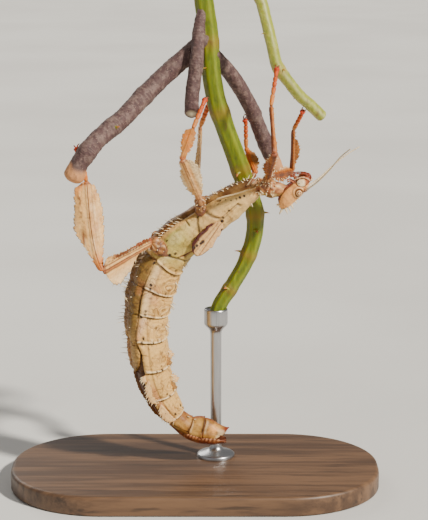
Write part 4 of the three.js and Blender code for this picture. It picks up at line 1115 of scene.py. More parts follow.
def shaded_brown_leaf(s, q, t, uneven, grain):
    """Red-brown darkened with painted shade, and a paler spiny edge with a painted highlight."""
    return {
        "tan": 0.9, "brown": 0.92 * ramp(uneven + 0.5 * s, -2.2, -0.2) * fall(s, 0.5, 1),
        "orange": 0.3 * ramp(grain, -0.2, 0.8), "white": 0.45 * ramp(s, 0.9, 1.3) * ramp(q, 0.4, 0.8),
        "dark": 0.4 * bump(s, -0.1, 0.25),
    }


def orange_leaf(s, q, t, uneven, grain):
    """Bright orange along the middle, cream at the rim."""
    middle = 1 - ramp(abs(s + 0.3), 0.5, 1.2)
    return {
        "tan": 0.75, "orange": 0.95 * middle, "red": 0.3 * middle * ramp(grain, -0.2, 0.8),
        "cream": 0.9 * ramp(abs(s), 0.9, 1.6), "dark": 0.35 * bump(s, -0.5, 0.2),
    }


def tan_leaf(s, q, t, uneven, grain):
    """Even tan with orange flecks and an orange hem."""
    flecks = ramp(uneven + grain, 0.4, 1.3)
    return {
        "tan": 0.8 + 0.2 * uneven, "orange": most(0.5 * flecks, 0.7 * ramp(q, 0.82, 1)),
        "brown": 0.4 * ramp(-uneven, 0.6, 1.4), "cream": 0.35 * ramp(uneven, 0.2, 1),
    }


def lit_and_shaded_leaf(s, q, t, uneven, grain):
    """Tan, with painted shade in brown on one side of the keel and a paler lit side on the other."""
    return {
        "tan": 1, "brown": 0.95 * ramp(-s, -0.25, 0.05), "orange": 0.45 * bump(s, 0.15, 0.2),
        "cream": 0.35 * ramp(s, 0.4, 0.8), "dark": 0.4 * bump(s, -0.1, 0.14),
    }


# Each palette by its word, with how flat the shaft of such a leaf is: 1 is round.
PALETTES = {
    "cream": (cream_leaf, 0.55), "oval": (oval_leaf, 0.5), "striped": (striped_leaf, 0.36),
    "brown": (shaded_brown_leaf, 0.8), "orange": (orange_leaf, 0.8), "tan": (tan_leaf, 0.6),
    "edged": (lit_and_shaded_leaf, 0.85),
}


def leaf_form(leaf, palette, flat):
    """The skin of a leaf-shaped length with keels, veins, teeth, and its stains and painted light."""

    def form(t, angle, reach):
        ends = sqrt(clip(1 - abs(2 * t - 1) ** 16, 0, 1))
        waist = 1 - 0.25 * sin(pi * t)
        low, high = leaf["thick"]
        radius = waist * (low + (high - low) * t) * (0.25 + 0.75 * ends)
        sign = where(cos(angle) >= 0, 1, -1)
        face = np.sign(np.round(sin(angle), 6))
        m = 1 - np.degrees(np.arcsin(clip(abs(sin(angle)), 0, 1))) / 90
        plus, minus = (lobe_width(t, lobe) for lobe in leaf["lobes"])
        width = where(sign > 0, plus, minus)
        rim = most(radius, width)
        shaft = 0.9 * radius
        x = where(m < 0.3, shaft * m / 0.3, shaft + (rim - shaft) * (m - 0.3) / 0.7)
        q = clip((x - shaft) / most(rim - shaft, 1e-3), 0, 1)
        thin = ramp(width - radius, 0, 0.6)
        blade = thin * 0.24 * clip(1 - q, 0, 1) ** 0.45
        barrel = flat * sqrt(clip(radius**2 - minimum(x, radius) ** 2, 0, None))
        thick = (barrel**3 + blade**3) ** (1 / 3)
        keel = bump(x, 0.35 * radius, 0.14) * ramp(radius, 0.5, 0.8)
        slant = (t * leaf["length"] - 0.8 * x) / 1.9
        vein = bump(slant - np.round(slant), 0, 0.09) * ramp(q, 0.02, 0.2) * thin
        side_rib = bump(q, 0.46 + 0.1 * sin(3 * t), 0.06) * thin
        thick = thick + (0.1 * keel + 0.05 * vein + 0.07 * side_rib) * (m < 0.995)
        spot = leaf_place(leaf, t, x * sign * reach, face * thick * reach)
        uneven = wobble(spot, 2.6, 41)
        grain = wobble(spot, 0.9, 42)
        spot = spot + leaf["sheer"] * (0.05 * face * (uneven + grain) * (m < 0.9) * reach)[:, None]
        joint = most(1 - ramp(t, 0.02, 0.1), ramp(t, 0.93, 0.98))
        masks = palette(x * sign, q * thin, t, uneven, grain)
        streak = wobble(column_stack([2 * x * sign, 0.22 * t * leaf["length"], 0 * t]), 1.5, 43)
        common = {
            "tan": (0.4 * ramp(streak, 0.3, 1.1),),
            "white": (0.35 * ramp(-streak, 0.3, 1.1) * masks.get("cream", 0),),
            "brown": (0.5 * ramp(q, 0.9, 1) * thin,),
            "rose": (0.7 * joint, 0.25 * ramp(uneven, 0.4, 1.4)),
            "dark": (0.8 * ramp(uneven + 0.8 * grain, 1.6, 2.2), 0.5 * bump(t, 0.97, 0.01)),
        }
        return spot, masks | {name: most(masks.get(name, 0), *marks) for name, marks in common.items()}

    return form


# %% [markdown]
# ## Stem routes
# The feet need the stems before the stems have their bark, because each foot is laid along a line
# that is pushed clear of the stems it grips.

# %% Routes and thickness of the stems
STEMS = {
    "perch_cane": [
        (2.3, 8, 164), (2.9, 8, 157.4), (4.2, 7.5, 148.5), (5.1, 6.2, 136.5), (6.6, 5.6, 127.4),
        (9.7, 6.2, 117.8), (12.6, 7.4, 109.8), (15.8, 8.8, 100.2), (18.8, 10, 91), (18.4, 10.6, 82.5),
        (15.6, 10.4, 74.5), (11.6, 9.6, 67.6), (7.8, 8.6, 61.6), (6.6, 8, 57),
    ],
    "perch_twig_hind": [
        (-35.7, -17, 107.4), (-34.2, -17, 110.6), (-31.6, -17, 114.6), (-29.4, -15, 117.2),
        (-26.3, -12, 119.7), (-21.4, -8, 123.4), (-17.6, -4, 127.1), (-10.5, 1.5, 133.7),
        (-2.9, 5, 140.3), (4.4, 7.4, 146.4),
    ],
    "perch_twig_mid": [
        (-0.8, -2, 124.4), (-0.6, -1.8, 129.5), (0.2, -0.6, 135.5), (0.9, 0.4, 141.3), (1.2, 2, 145.7),
        (1.8, 5, 151.6), (2.8, 8, 156.9),
    ],
    "perch_twig_far": [
        (26.4, 26.4, 101.4), (22.6, 24.4, 110.4), (19.2, 22.6, 119), (17, 20.4, 124), (11.6, 14, 133.5),
        (5.1, 6.6, 141.5),
    ],
    "perch_stem_fore": [
        (3.4, 8, 165.5), (8.6, 7, 166), (13.9, 5, 164.4), (19.3, 0, 159.6), (21.6, -3, 152.4),
        (23.4, -5, 145.1), (25, -5, 138.8), (29, -3, 133.1), (32.5, 1, 128.6), (35.2, 4, 126.1),
        (39.4, 6.6, 121.8),
    ],
}
STEM_RADIUS = {
    "perch_cane": lambda t: 2.8 - 0.6 * ramp(t, 0.5, 0.85),
    "perch_twig_hind": lambda t: 2.9 + 0.35 * exp(-(((t - 0.05) / 0.04) ** 2)),
    "perch_twig_mid": lambda t: 2.25 - 0.9 * t**3,
    "perch_twig_far": lambda t: 2.5 + 0 * t,
    "perch_stem_fore": lambda t: 1.85 + 0 * t,
}


# %% Feet: five short lengths that lie along a line pushed clear of the stems
FOOT_JOINTS = array([0, 0.3, 0.48, 0.62, 0.74, 1])


def foot_route(leg, thick):
    """Points from the ankle to the toe, each pushed out of the stems."""
    spots = []
    for share in linspace(0, 1, 7):
        spot = array(leg["ankle"]) * (1 - share) + array(leg["toe"]) * share
        for stem in leg["grips"]:
            line = catmull(STEMS[stem], linspace(0, 1, 400))
            near = line[np.argmin(norm(line - spot, axis=1))]
            reach = STEM_RADIUS[stem](0.5) + thick + GAP
            if norm(spot - near) < reach:
                spot = near + unit(spot - near) * reach
        spots.append(spot)
    return array(spots)


def curve_frame(route, t, reference=(0, 1, 0)):
    """Centre of a route, two directions across it, and the direction along it."""
    along = heading(route, t)
    across = unit(cross(along, reference))
    return catmull(route, t), across, cross(across, along), along


def foot_form(route, thick):
    """A jointed foot that swells at each joint."""

    def form(t, angle, reach):
        centre, across, up, _ = curve_frame(route, t)
        low = np.searchsorted(FOOT_JOINTS, t, side="right") - 1
        low = clip(low, 0, len(FOOT_JOINTS) - 2)
        share = (t - FOOT_JOINTS[low]) / (FOOT_JOINTS[low + 1] - FOOT_JOINTS[low])
        radius = thick * (0.6 + 0.34 * sin(pi * share) ** 0.8 + 0.22 * bump(share, 0.85, 0.14))
        radius = radius * domed_end(t, 0.97, 0.031)
        radius = radius + 0.25 * thick * bump(t, 0.94, 0.035)
        ring = out_from(across, up, angle)
        spot = centre + ring * (radius * reach)[:, None]
        uneven = wobble(spot, 1.2, 51)
        masks = {
            "orange": 0.6 + 0.3 * uneven, "foot": 0.95 * ramp(t, 0.1, 0.55), "red": 0.8 * ramp(t, 0.75, 1),
            "dark": 0.5 * bump(minimum(share, 1 - share), 0, 0.08) * (t < 0.9),
        }
        return spot, masks

    return form


# %% Build the six legs, each one skin from the hip to the toe
leaves = {}
feet = {}
for name, leg in LEGS.items():
    pair = name.split("_")[0]
    parts = []
    for piece, start, end in (("femur", "hip", "knee"), ("tibia", "knee", "ankle")):
        facing, plus, minus, colours = leg[piece]
        thick = SHAFTS[pair][piece]
        curl = 0.9 if piece == "tibia" else 0.6
        bend = -1.4 if (piece, name) == ("tibia", "hind_left") else 0
        leaf = new_leaf(leg[start], leg[end], facing, thick, (plus, minus), curl, bend)
        leaves[piece, name] = leaf
        rings = int(leaf["length"] / 0.2)
        tube = bench_tube(f"{piece}_part_{name}", 80, rings)
        parts.append(shaped(tube, leaf_form(leaf, *PALETTES[colours])))
    thick = SHAFTS[pair]["tarsus"]
    feet[name] = foot_route(leg, thick)
    parts.append(shaped(bench_tube(f"foot_part_{name}", 18, 70), foot_form(feet[name], thick)))
    leg_skin = united(f"leg_skin_{name}", parts)
    dress(leg_skin, leg_cuticle, "leg", f"femur_{name}", f"tibia_{name}", f"tarsus_{name}")

# %% [markdown]
# ## Spines, claws and thorns
# A spine is a cone drawn out and bent a little.  It is modelled once on the bench by extruding a
# small disc in steps, each turned and narrowed, and every spine on the animal is a copy with its own
# mesh.  A claw is the same with a stronger bend, and a bramble thorn has a long flat foot.


# %% Model the masters by extruding a disc
def drawn_out(name, sides, first_radius, steps):
    """A disc extruded in steps: how far it goes, its next width, and its turn in degrees."""
    alone()
    bpy.ops.mesh.primitive_circle_add(vertices=sides, radius=first_radius, fill_type="NGON")
    piece = bpy.context.object
    piece.name = name
    bpy.ops.object.mode_set(mode="EDIT")
    bpy.ops.mesh.select_all(action="SELECT")
    spot = Vector((0, 0, 0))
    tilt = 0
    for distance, width, turn in steps:
        tilt += math.radians(turn)
        step = Vector((math.sin(tilt), 0, math.cos(tilt))) * distance
        spot = spot + step
        bpy.ops.mesh.extrude_region_move(TRANSFORM_OT_translate={"value": step})
        bpy.ops.transform.resize(value=(width, width, width), center_override=spot)
        bpy.ops.transform.rotate(value=math.radians(-turn), orient_axis="Y", center_override=spot)
    bpy.ops.mesh.select_all(action="SELECT")
    bpy.ops.mesh.normals_make_consistent(inside=False)
    bpy.ops.object.mode_set(mode="OBJECT")
    return piece


spine_master = drawn_out("spine_master", 6, 0.26, [(0.22, 0.62, 0), (0.38, 0.66, 7), (0.4, 0.15, 9)])
claw_steps = [(0.35, 0.95, 0), (0.35, 0.9, 16), (0.35, 0.82, 22), (0.32, 0.7, 24), (0.3, 0.25, 22)]
claw_master = drawn_out("claw_master", 8, 0.24, claw_steps)
thorn_steps = [(0.3, 0.62, 0), (0.55, 0.66, 8), (0.65, 0.6, 14), (0.7, 0.12, 10)]
thorn_master = drawn_out("thorn_master", 8, 0.85, thorn_steps)
for master in (spine_master, claw_master, thorn_master):
    print(master.name, "vertices:", len(master.data.vertices))


# %% Plant copies of a master
def planted(master, spot, way, size=1, lean=(0, 0, 1), stretch=(1, 1, 1)):
    """A copy of the master that stands at a spot, points along a way and bends towards lean."""
    way = unit(way)
    toward = array(lean, float) - way * float(np.dot(lean, way))
    if norm(toward) < 1e-6:
        toward = cross(way, (0.3, 0.5, 0.8))
    toward = unit(toward)
    turn = column_stack([toward, cross(way, toward), way])
    copy = master.copy()
    copy.data = master.data.copy()
    bpy.context.scene.collection.objects.link(copy)
    rows = read_places(copy) * size * array(stretch)
    write_places(copy, (rows @ turn.T + spot + LIFT) * MM)
    return copy


def paint_height(piece, master, name, count):
    """A mask on a joined set of copies: 0 at each copy's foot and 1 at its tip."""
    heights = read_places(master)[:, 2]
    write_mask(piece, name, np.tile(heights / heights.max(), count))


def hedge(name, master, plantings, material, slot):
    """Joins many planted copies into one piece with a mask from foot to tip."""
    copies = [planted(master, *planting) for planting in plantings]
    piece = united(name, copies)
    paint_height(piece, master, "tip", len(plantings))
    finish_surface(piece)
    dress(piece, material, slot)
    return piece


# %% Spine finish: pale and translucent, brown at the foot and the tip
finish = Finish("spine_cuticle", (0.84, 0.66, 0.38), 0.4, Subsurface_Weight=0.1, Coat_Weight=0.2)
finish.stain((0.5, 0.22, 0.07), finish.band(finish.mask("tip"), 0.35, 0, 0.75))
finish.stain((0.25, 0.09, 0.03), finish.band(finish.mask("tip"), 0.9, 1, 0.6))
spine_cuticle = finish.done(finish.noise(0.3), 0.03)

# %% Spines of the trunk: stations, degrees to the back, length, thickness and lean to the tail
dice = random.Random(5)
BODY_SPINES = [
    ([0.8, 1.25, 1.75], [34, 4], 1, 1, 0.1), ([1, 1.35, 1.6], [20, -14], 1.3, 1.3, -0.6),
    ([1.85, 2.02], [30, 12, -16], 1.5, 1.4, -0.7), ([0.7, 1.1, 1.5, 1.9], [-35, -58], 1.2, 1, 0),
    ([2.16, 2.3], [-36], 3.4, 1.2, -1.3), ([2.1, 2.24], [-10, 8], 1.4, 1, -0.4),
    ([2.2, 2.35, 2.5, 2.65, 2.8, 2.95, 3.1, 3.3, 3.5, 3.7], [-64], 1.1, 1.1, 0.2),
    ([2.3, 2.6, 2.9, 3.2], [-78], 1.2, 1.1, 0.1), ([2.5], [58], 1.7, 1.3, -0.1),
    (linspace(4.3, 5.38, 10), [-45], 1.7, 1, 0.5),
    (linspace(4.4, 5.4, 6), [-62], 1.9, 1, 0.3),
    ([5.46, 5.6], [62, 72], 1.5, 1.1, 0.3),
    (linspace(6, 6.36, 4), [-50], 1.5, 0.9, 0.3), ([6.22, 6.34], [-66], 2.2, 1, 0.1),
    ([6.92, 7.04], [-72], 4, 0.9, 0.1), ([7.16], [-72], 3.6, 0.9, -0.3),
    ([7.46, 7.52], [-56], 3.9, 0.9, -0.7), ([7.75], [-76], 2.4, 0.9, 0.2),
    ([8.06, 8.16], [-72], 3.8, 0.9, 0.1), ([8.4], [-56], 3.6, 0.9, -0.7),
    ([8.78], [-72], 2.2, 0.9, -0.2), ([9.12, 9.3], [-68], 3.2, 0.9, -0.3), ([9.48], [-64], 2.4, 0.9, -0.6),
    ([6.55, 7.3, 8.6], [-84], 1.9, 0.9, 0.2), ([6.6, 7.3, 8.3, 8.6], [-38], 0.9, 0.9, -0.2),
    ([6.42, 6.5], [66], 2.2, 1.5, 0.4), ([7.32, 7.4], [70], 2.4, 1.6, 0.4),
    ([7, 7.1], [68], 1, 1.1, 0.3), ([8.27, 8.37], [70], 1.9, 1.7, 0.6),
    ([8.45, 8.52], [72], 1.8, 1.2, 0.9),
    ([9.34, 9.46, 9.6], [76], 1.4, 1.3, 0.6), ([10.2, 10.34, 10.48], [76], 1.3, 1.3, 0.7),
    ([11.62, 11.7], [66], 1.1, 1.2, 0.9), ([11.3, 11.85], [74], 0.8, 1, 0.9),
    ([12.5, 13.3], [64], 1, 1, 1.2),
]
plantings = []
for stations, degrees, length, thick, lean in BODY_SPINES:
    for station in stations:
        for at in degrees:
            for side in (1, -1):
                jog = dice.uniform(-0.04, 0.04)
                spot, way = on_trunk(station + jog, at + dice.uniform(-4, 4), side, lean)
                _, along, *_ = trunk_frame(station)
                tall = length * dice.uniform(0.8, 1.15)
                wide = thick / tall
                plantings.append((spot - way * 0.15, way, tall, along[0], (wide, wide, 1)))
# Crown spines: along, brow, left, how they lean along the axis, to the brow and to the left, length.
CROWN_SPINES = [
    (-6.3, 0.8, 0.5, (-0.95, 0.3, 0.3), 1.9), (-5.6, 1.4, 0.9, (-0.35, 0.95, 0.4), 1.8),
    (-4.6, 1.8, 1.1, (-0.3, 0.95, 0.4), 1.8), (-3.6, 2, 1.2, (-0.1, 1, 0.4), 1.5),
    (-2, 2.3, 1.2, (0.1, 1, 0.4), 1), (-0.6, 2.5, 1, (0.1, 1, 0.3), 0.8),
    (-5.9, -0.6, 0.8, (-0.6, -0.9, 0.5), 1.1),
]
for along, brow, left, lean, length in CROWN_SPINES:
    for side in (1, -1):
        way = unit(HEAD_AXIS * lean[0] + BROW_WAY * lean[1] + LEFT * (side * lean[2]))
        spot = on_head(along, brow, side * left)
        wide = 1.8 / length
        plantings.append((spot - way * 0.25, way, 1.25 * length, -HEAD_AXIS, (wide, wide, 1)))
hedge("body_spines", spine_master, plantings, spine_cuticle, "cuticle")
print("body spines:", len(plantings))

# %% [markdown]
# ## Thorns of the legs, and claws
# The knobs at the hips and the rims of the leaves carry more of the same spines.  Each foot ends in
# two claws that part from one another and curl the way the foot grips.

# %% Thorns on the rims of the leaves, on the hips, and a pair of claws on each toe
# Each row: the bone, which lobe's rim it stands on, how many, and the longest in millimetres.
THORN_ROWS = {
    "fore": (("femur", 1, 9, 1.1), ("femur", 0, 7, 0.9), ("tibia", 0, 9, 0.8)),
    "mid": (("femur", 1, 12, 0.7), ("femur", 0, 14, 0.7), ("tibia", 0, 9, 0.6), ("tibia", 1, 9, 0.6)),
    "hind": (("femur", 1, 15, 1.5), ("femur", 0, 13, 1.4), ("tibia", 0, 18, 0.7), ("tibia", 1, 20, 0.7)),
}
plantings = []
for name, leg in LEGS.items():
    pair, hand = name.split("_")
    side = 1 if hand == "left" else -1
    root, radius = HIP_ROOTS[pair]
    root, hip = array(mirrored(root, side)), array(leg["hip"])
    along = unit(hip - root)
    for turn in range(14):
        share = 0.35 + 0.045 * turn + dice.uniform(-0.02, 0.02)
        around = 2.4 * turn
        across = unit(cross(along, (1, 0, 0)))
        way = across * math.cos(around) + cross(across, along) * math.sin(around)
        spot = root + along * share * norm(hip - root) + way * radius * 0.82
        tall = dice.uniform(0.5, 1)
        plantings.append((spot, unit(way + 0.2 * along), tall, along, (1 / tall, 1 / tall, 1)))
    for bone, lobe, count, longest in THORN_ROWS[pair]:
        leaf = leaves[bone, name]
        outward = leaf["out"] * (1 - 2 * lobe)
        low, high = leaf["thick"]
        for number in range(count):
            t = 0.08 + 0.86 * number / (count - 1) + dice.uniform(-0.015, 0.015)
            radius = (1 - 0.25 * math.sin(math.pi * t)) * (low + (high - low) * t)
            tall = longest * dice.uniform(0.6, 1)
            rim = max(float(lobe_width(array([t]), leaf["lobes"][lobe])[0]), radius)
            spot = leaf_place(leaf, t, 0.92 * rim * (1 - 2 * lobe), 0)[0]
            lean = unit(outward + 0.25 * leaf["sheer"] * (-1) ** number + 0.3 * unit(leaf["run"]))
            plantings.append((spot, lean, tall, leaf["run"], (0.9 / tall, 0.9 / tall, 1)))
            if bone == "femur" and lobe == 1 and pair != "mid":
                spot = leaf_place(leaf, t, -0.62 * rim, 0.35 * radius)[0]
                lean = unit(leaf["sheer"] + 0.9 * outward)
                plantings.append((spot, lean, 0.8 * tall, leaf["run"], (1 / tall, 1 / tall, 1)))
hedge("leg_spines", spine_master, plantings, spine_cuticle, "leg")
print("leg spines:", len(plantings))

finish = Finish("claw_horn", (0.3, 0.055, 0.02), 0.28, Coat_Weight=0.4)
finish.stain((0.05, 0.012, 0.008), finish.band(finish.mask("tip"), 0.5, 1))
claw_horn = finish.done(finish.noise(0.4), 0.02)
plantings = []
for name, leg in LEGS.items():
    tip, ahead = catmull(feet[name], 1)[0], heading(feet[name], 0.999)[0]
    line = catmull(STEMS[leg["grips"][-1]], linspace(0, 1, 400))
    near = line[np.argmin(norm(line - tip, axis=1))]
    sheer = unit(cross(ahead, near - tip))
    for side in (1, -1):
        way = unit(ahead + 0.55 * side * sheer)
        plantings.append((tip + 0.22 * side * sheer - 0.2 * ahead, way, 1, near - tip))
hedge("claws", claw_master, plantings, claw_horn, "foot")

# %% [markdown]
# ## Wings, flaps and the egg boat
# The female's fore wings are two small leathery leaves behind the middle legs, and the hind half of
# the abdomen carries leaf-like flaps.  Both come from the same leaf form as the legs.  The boat
# under the tail guides the eggs: it is a tube flattened to a trough that ends in two points.

# %% Fore wings
finish = Finish("wing_leather", (0.74, 0.43, 0.17), 0.6, Subsurface_Weight=0.08)
# The rust colour is the dark red hem, made near black with painted shadow.
finish.paint([
    ("cream", (0.8, 0.49, 0.19)), ("tan", (0.52, 0.24, 0.06)), ("rose", (0.64, 0.29, 0.12)),
    ("brown", (0.24, 0.075, 0.02)), ("rust", (0.05, 0.005, 0.002)), ("dark", UMBER),
])
wing_mottle = finish.noise(0.8, 5, rough=0.65)
finish.stain((1.2, 1.2, 1.15), finish.band(wing_mottle, 0.52, 0.72, 0.8), "MULTIPLY")
finish.stain((0.62, 0.52, 0.42), finish.band(wing_mottle, 0.46, 0.3, 0.8), "MULTIPLY")
wing_leather = finish.done(finish.noise(0.5, 4), 0.08)
# Dark spots: share along the wing, millimetres across it, and radius.
WING_BLOBS = (
    (0.62, -0.9, 0.6), (0.68, -1.1, 0.5), (0.78, -1.7, 0.5), (0.86, -2, 0.5), (0.13, 1.9, 0.5),
)


def wing_form(leaf):
    """The leaf form with fine lengthwise veins, a dark-red hem partly painted as shadow, and a few dark
    spots.
    """
    bare = leaf_form(leaf, plain_leaf, 0.8)

    def form(t, angle, reach):
        spot, masks = bare(t, angle, reach)
        across = (spot - leaf["start"]) @ leaf["out"]
        outer, hem = (lobe_width(t, lobe) for lobe in leaf["lobes"])
        # The hem along the body side is dark red, made darker with painted shadow of the gap beside the body.
        masks["rust"] = most(
            ramp(-across, 0.6 * hem, 0.7 * hem) * ramp(t, 0.04, 0.16), 0.6 * ramp(t, 0.95, 0.99),
            0.85 * ramp(across, 0.78 * outer, 0.9 * outer) * ramp(t, 0.7, 0.82),
        )
        streaks = cos(2 * pi * (across + 0.4 * sin(5 * t)) / 0.95)
        line = bump(across, 0.25 + 0.5 * t, 0.19) + 0.8 * bump(across, -0.55 - 0.5 * t, 0.16)
        masks["brown"] = most(masks["brown"], 0.95 * minimum(line, 1))
        masks["rose"] = most(0.25 * ramp(streaks, 0.2, 0.9), 0.3 * ramp(across, 0, 1.5))
        masks["tan"] = 0.45 * ramp(-across, 0.3, 1.2) * fall(-across, 1.6, 2.4)
        for at, out, radius in WING_BLOBS:
            gap = hypot((t - at) * leaf["length"], across - out)
            masks["dark"] = most(masks["dark"], ramp(-gap, -1.2 * radius, -0.8 * radius))
        spot = spot + leaf["sheer"] * (0.1 * streaks * reach)[:, None] * side_of(leaf)
        return spot, masks

    return form


def side_of(leaf):
    """1 or -1: the way along the sheer that faces out of the animal."""
    return 1 if (leaf["sheer"] @ LEFT) * -leaf["start"][1] > 0 else -1


WING_OUTER = ([0, 0.1, 0.38, 0.62, 0.86, 1], [1.6, 2.4, 2.8, 2.9, 1.9, 0.5], 3)
WING_HEM = ([0, 0.12, 0.5, 0.8, 0.97, 1], [0.7, 2.4, 3.8, 3.6, 1.8, 0.5], 3)
for hand, side in (("left", 1), ("right", -1)):
    root, tip = mirrored((8, -4.9, 90.9), side), mirrored((0.4, -6.5, 80.6), side)
    facing = (0.85, 0.22 * side, -0.5)
    leaf = new_leaf(root, tip, facing, (0.5, 0.3), (WING_OUTER, WING_HEM), curl=-0.35 * side)
    wing = shaped(bench_tube(f"fore_wing_{hand}", 64, 80), wing_form(leaf))
    dress(wing, wing_leather, "wing", f"tegmen_{hand}")

# %% Flaps of the abdomen: side flaps turn towards the belly, and small lobes stand on the back
# Each: its first and last station, degrees to the back, which way it turns, outline and teeth.
SIDE_FLAPS = (
    (9.84, 10.04, -4, ([0, 0.3, 0.7, 1], [0.5, 1.3, 1.5, 0.5], 6)),
    (10.02, 10.92, 3, ([0, 0.15, 0.5, 0.85, 1], [0.8, 2, 2.9, 2.4, 0.7], 9)),
    (10.98, 11.94, 6, ([0, 0.2, 0.55, 0.85, 1], [0.9, 2.3, 3, 2.2, 0.6], 9)),
)
BACK_LOBES = (
    (8.22, 8.42, 74, ([0, 0.4, 1], [0.5, 1, 0.4], 4)),
    (9.38, 9.75, 66, ([0, 0.3, 0.75, 1], [0.9, 2.3, 3.2, 2], 7)),
    (10.32, 10.7, 64, ([0, 0.3, 0.75, 1], [0.9, 2.4, 3.3, 2.1], 7)),
)
flap_pieces = []
fringe = []
for turned_down, group in ((True, SIDE_FLAPS), (False, BACK_LOBES)):
    for first, last, degrees, outline in group:
        for side in (1, -1):
            start, way = on_trunk(first, degrees, side)
            end, _ = on_trunk(last, degrees, side)
            back = trunk_frame((first + last) / 2)[2][0]
            facing = LEFT * (0.42 * side) - 0.9 * back if turned_down else way
            root_in = way * (0.15 if turned_down else -0.3)
            lobes = (outline, ([0, 1], [0.1, 0.1], 1))
            leaf = new_leaf(start + root_in, end + root_in, facing, (0.45, 0.4), lobes)
            flap_pieces.append(shaped(bench_tube("flap_part", 44, 60), leaf_form(leaf, plain_leaf, 0.7)))
            for t in linspace(0.12, 0.97, 9 if turned_down else 5):
                rim = float(lobe_width(array([t]), outline)[0])
                spot = leaf_place(leaf, t, 0.9 * rim, 0)[0]
                lean = unit(leaf["out"] + unit(leaf["run"]) * (0.9 * t - 0.1))
                tall = dice.uniform(0.7, 1.25)
                fringe.append((spot, lean, tall, leaf["run"], (0.9 / tall, 0.9 / tall, 1)))
flap_skin = united("abdomen_flaps", flap_pieces)
dress(flap_skin, wing_leather, "cuticle")
hedge("flap_fringe", spine_master, fringe, spine_cuticle, "cuticle")


# %% The egg boat under the tail: x, z, depth and width at its stations
OPERCULUM = array([
    [-7.4, 25.2, 0.9, 5], [-5, 23.3, 1.6, 6], [-2, 21.5, 2.4, 6.8], [1.2, 20.5, 2.8, 7],
    [5.2, 19.9, 2.8, 6.4], [9.8, 19.5, 1.2, 4.4],
])


def boat_form(t, angle, reach):
    """A trough that holds the tail from below and splits into two points."""
    line = column_stack([OPERCULUM[:, 0], 0 * OPERCULUM[:, 0], OPERCULUM[:, 1]])
    centre, along = catmull(line, t), heading(line, t)
    up = cross(LEFT, along)
    depth, width = catmull(column_stack([OPERCULUM[:, 2:], 0 * OPERCULUM[:, 0]]), t).T[:2]
    across = cos(angle)
    sag = abs(sin(angle)) ** 0.85
    wall = 0.5 + 0.3 * ramp(-t, -0.2, 0)
    outside = depth / 2 - depth * sag
    inside = depth / 2 - most(depth - wall, 0.1) * sag
    b = where(sin(angle) < 0, outside, inside)
    ruffle = sin(2 * pi * t * 17) * bump(abs(across), 1, 0.1) * spread(t, 0.25, 0.9, 0.05)
    b = b + 0.16 * ruffle
    notch = 2.6 * clip(1 - abs(across), 0, 1) ** 1.2 * ramp(t, 0.82, 1)
    a = width / 2 * across
    uneven, grain = wobble(centre + LEFT * a[:, None], 3, 61), wobble(centre + LEFT * a[:, None], 1.2, 62)
    keel = bump(across, 0, 0.1) * (sin(angle) < 0)
    b = b - 0.25 * keel - 0.08 * sin(np.degrees(angle) * 0.3) * (sin(angle) < 0) + 0.05 * grain
    spot = centre + LEFT * (a * reach)[:, None] + up * ((b - depth / 2) * reach + depth / 2)[:, None]
    spot = spot - along * notch[:, None]
    rim = bump(abs(across), 1, 0.06)
    masks = {
        "tan": 0.75 * ramp(uneven, -0.3, 0.8) * fall(t, 0.85, 0.97),
        # Painted highlights on the crests of the rim's ruffle.
        "white": 0.75 * rim * ramp(ruffle, -0.2, 0.5), "rose": 0.45 * fall(t, 0, 0.3),
        "dark": most(
            # Painted shade in the ruffle's troughs and over the inside of the trough, under the tail.
            0.55 * rim * ramp(-ruffle, -0.1, 0.6), 0.35 * ramp(t, 0.86, 1), 0.7 * (sin(angle) > 0.05),
            0.55 * ramp(grain, 0.5, 1.4),
        ),
    }
    return spot, masks


red_cuticle = cuticle_finish(
    "red_cuticle", (0.24, 0.048, 0.014),
    # Its white is painted highlight on the boat's rim.
    [("tan", (0.46, 0.15, 0.04)), ("rose", ROSE), ("white", (0.72, 0.36, 0.16)), ("dark", UMBER)], 0.42, 0.06,
)
boat = shaped(bench_tube("egg_boat", 48, 70), boat_form)
dress(boat, red_cuticle, "red_cuticle", "operculum")

# %% [markdown]
# ## Eyes, mouth and feelers
# The eye is a glossy dome with rings, so it is a ball of rings with a mask from its pole.  The mouth
# is a cluster: a red-brown jaw on each side, a pale lip, and palps of short beads; the pale dome
# beside it is carved in the head.  The feelers are whips of beads that lengthen towards the tip.


# %% Eyes
def eye_form(side):
    """A shallow dome whose pole faces out of the cheek."""
    seat = on_head(EYE_ALONG, EYE_BROW, side * EYE_LEFT)
    pole = unit(LEFT * side + 0.22 * BROW_WAY)
    across = unit(cross(pole, HEAD_AXIS))
    up = cross(across, pole)

    def form(t, angle, reach):
        turn = pi * t
        out = 0.88 * EYE_RADIUS * cos(turn)
        wide = 1.02 * EYE_RADIUS * sin(turn) * reach
        ring = out_from(across, up, angle)
        return seat + pole * out[:, None] + ring * wide[:, None], {"pole": 1 - 2 * t}

    return form


finish = Finish("eye_gloss", (0.16, 0.045, 0.014), 0.25, Coat_Weight=0.25, Coat_Roughness=0.08)
pole = finish.mask("pole")
for low, high, tint in (
    (0.4, 0.47, (0.78, 0.47, 0.2)), (0.6, 0.65, (0.24, 0.07, 0.02)), (0.77, 0.83, (0.8, 0.5, 0.24)),
    (0.965, 0.985, (0.34, 0.12, 0.04)),
):
    finish.stain(tint, finish.band(pole, low, high))
finish.stain((0.1, 0.04, 0.02), finish.band(finish.cells(0.28), 0.1, 0.03, 0.25))
eye_gloss = finish.done(finish.cells(0.09), 0.004, 0.4)
for hand, side in (("left", 1), ("right", -1)):
    eye = shaped(bench_tube(f"eye_dome_{hand}", 40, 40), eye_form(side))
    dress(eye, eye_gloss, "eye", f"eye_{hand}")


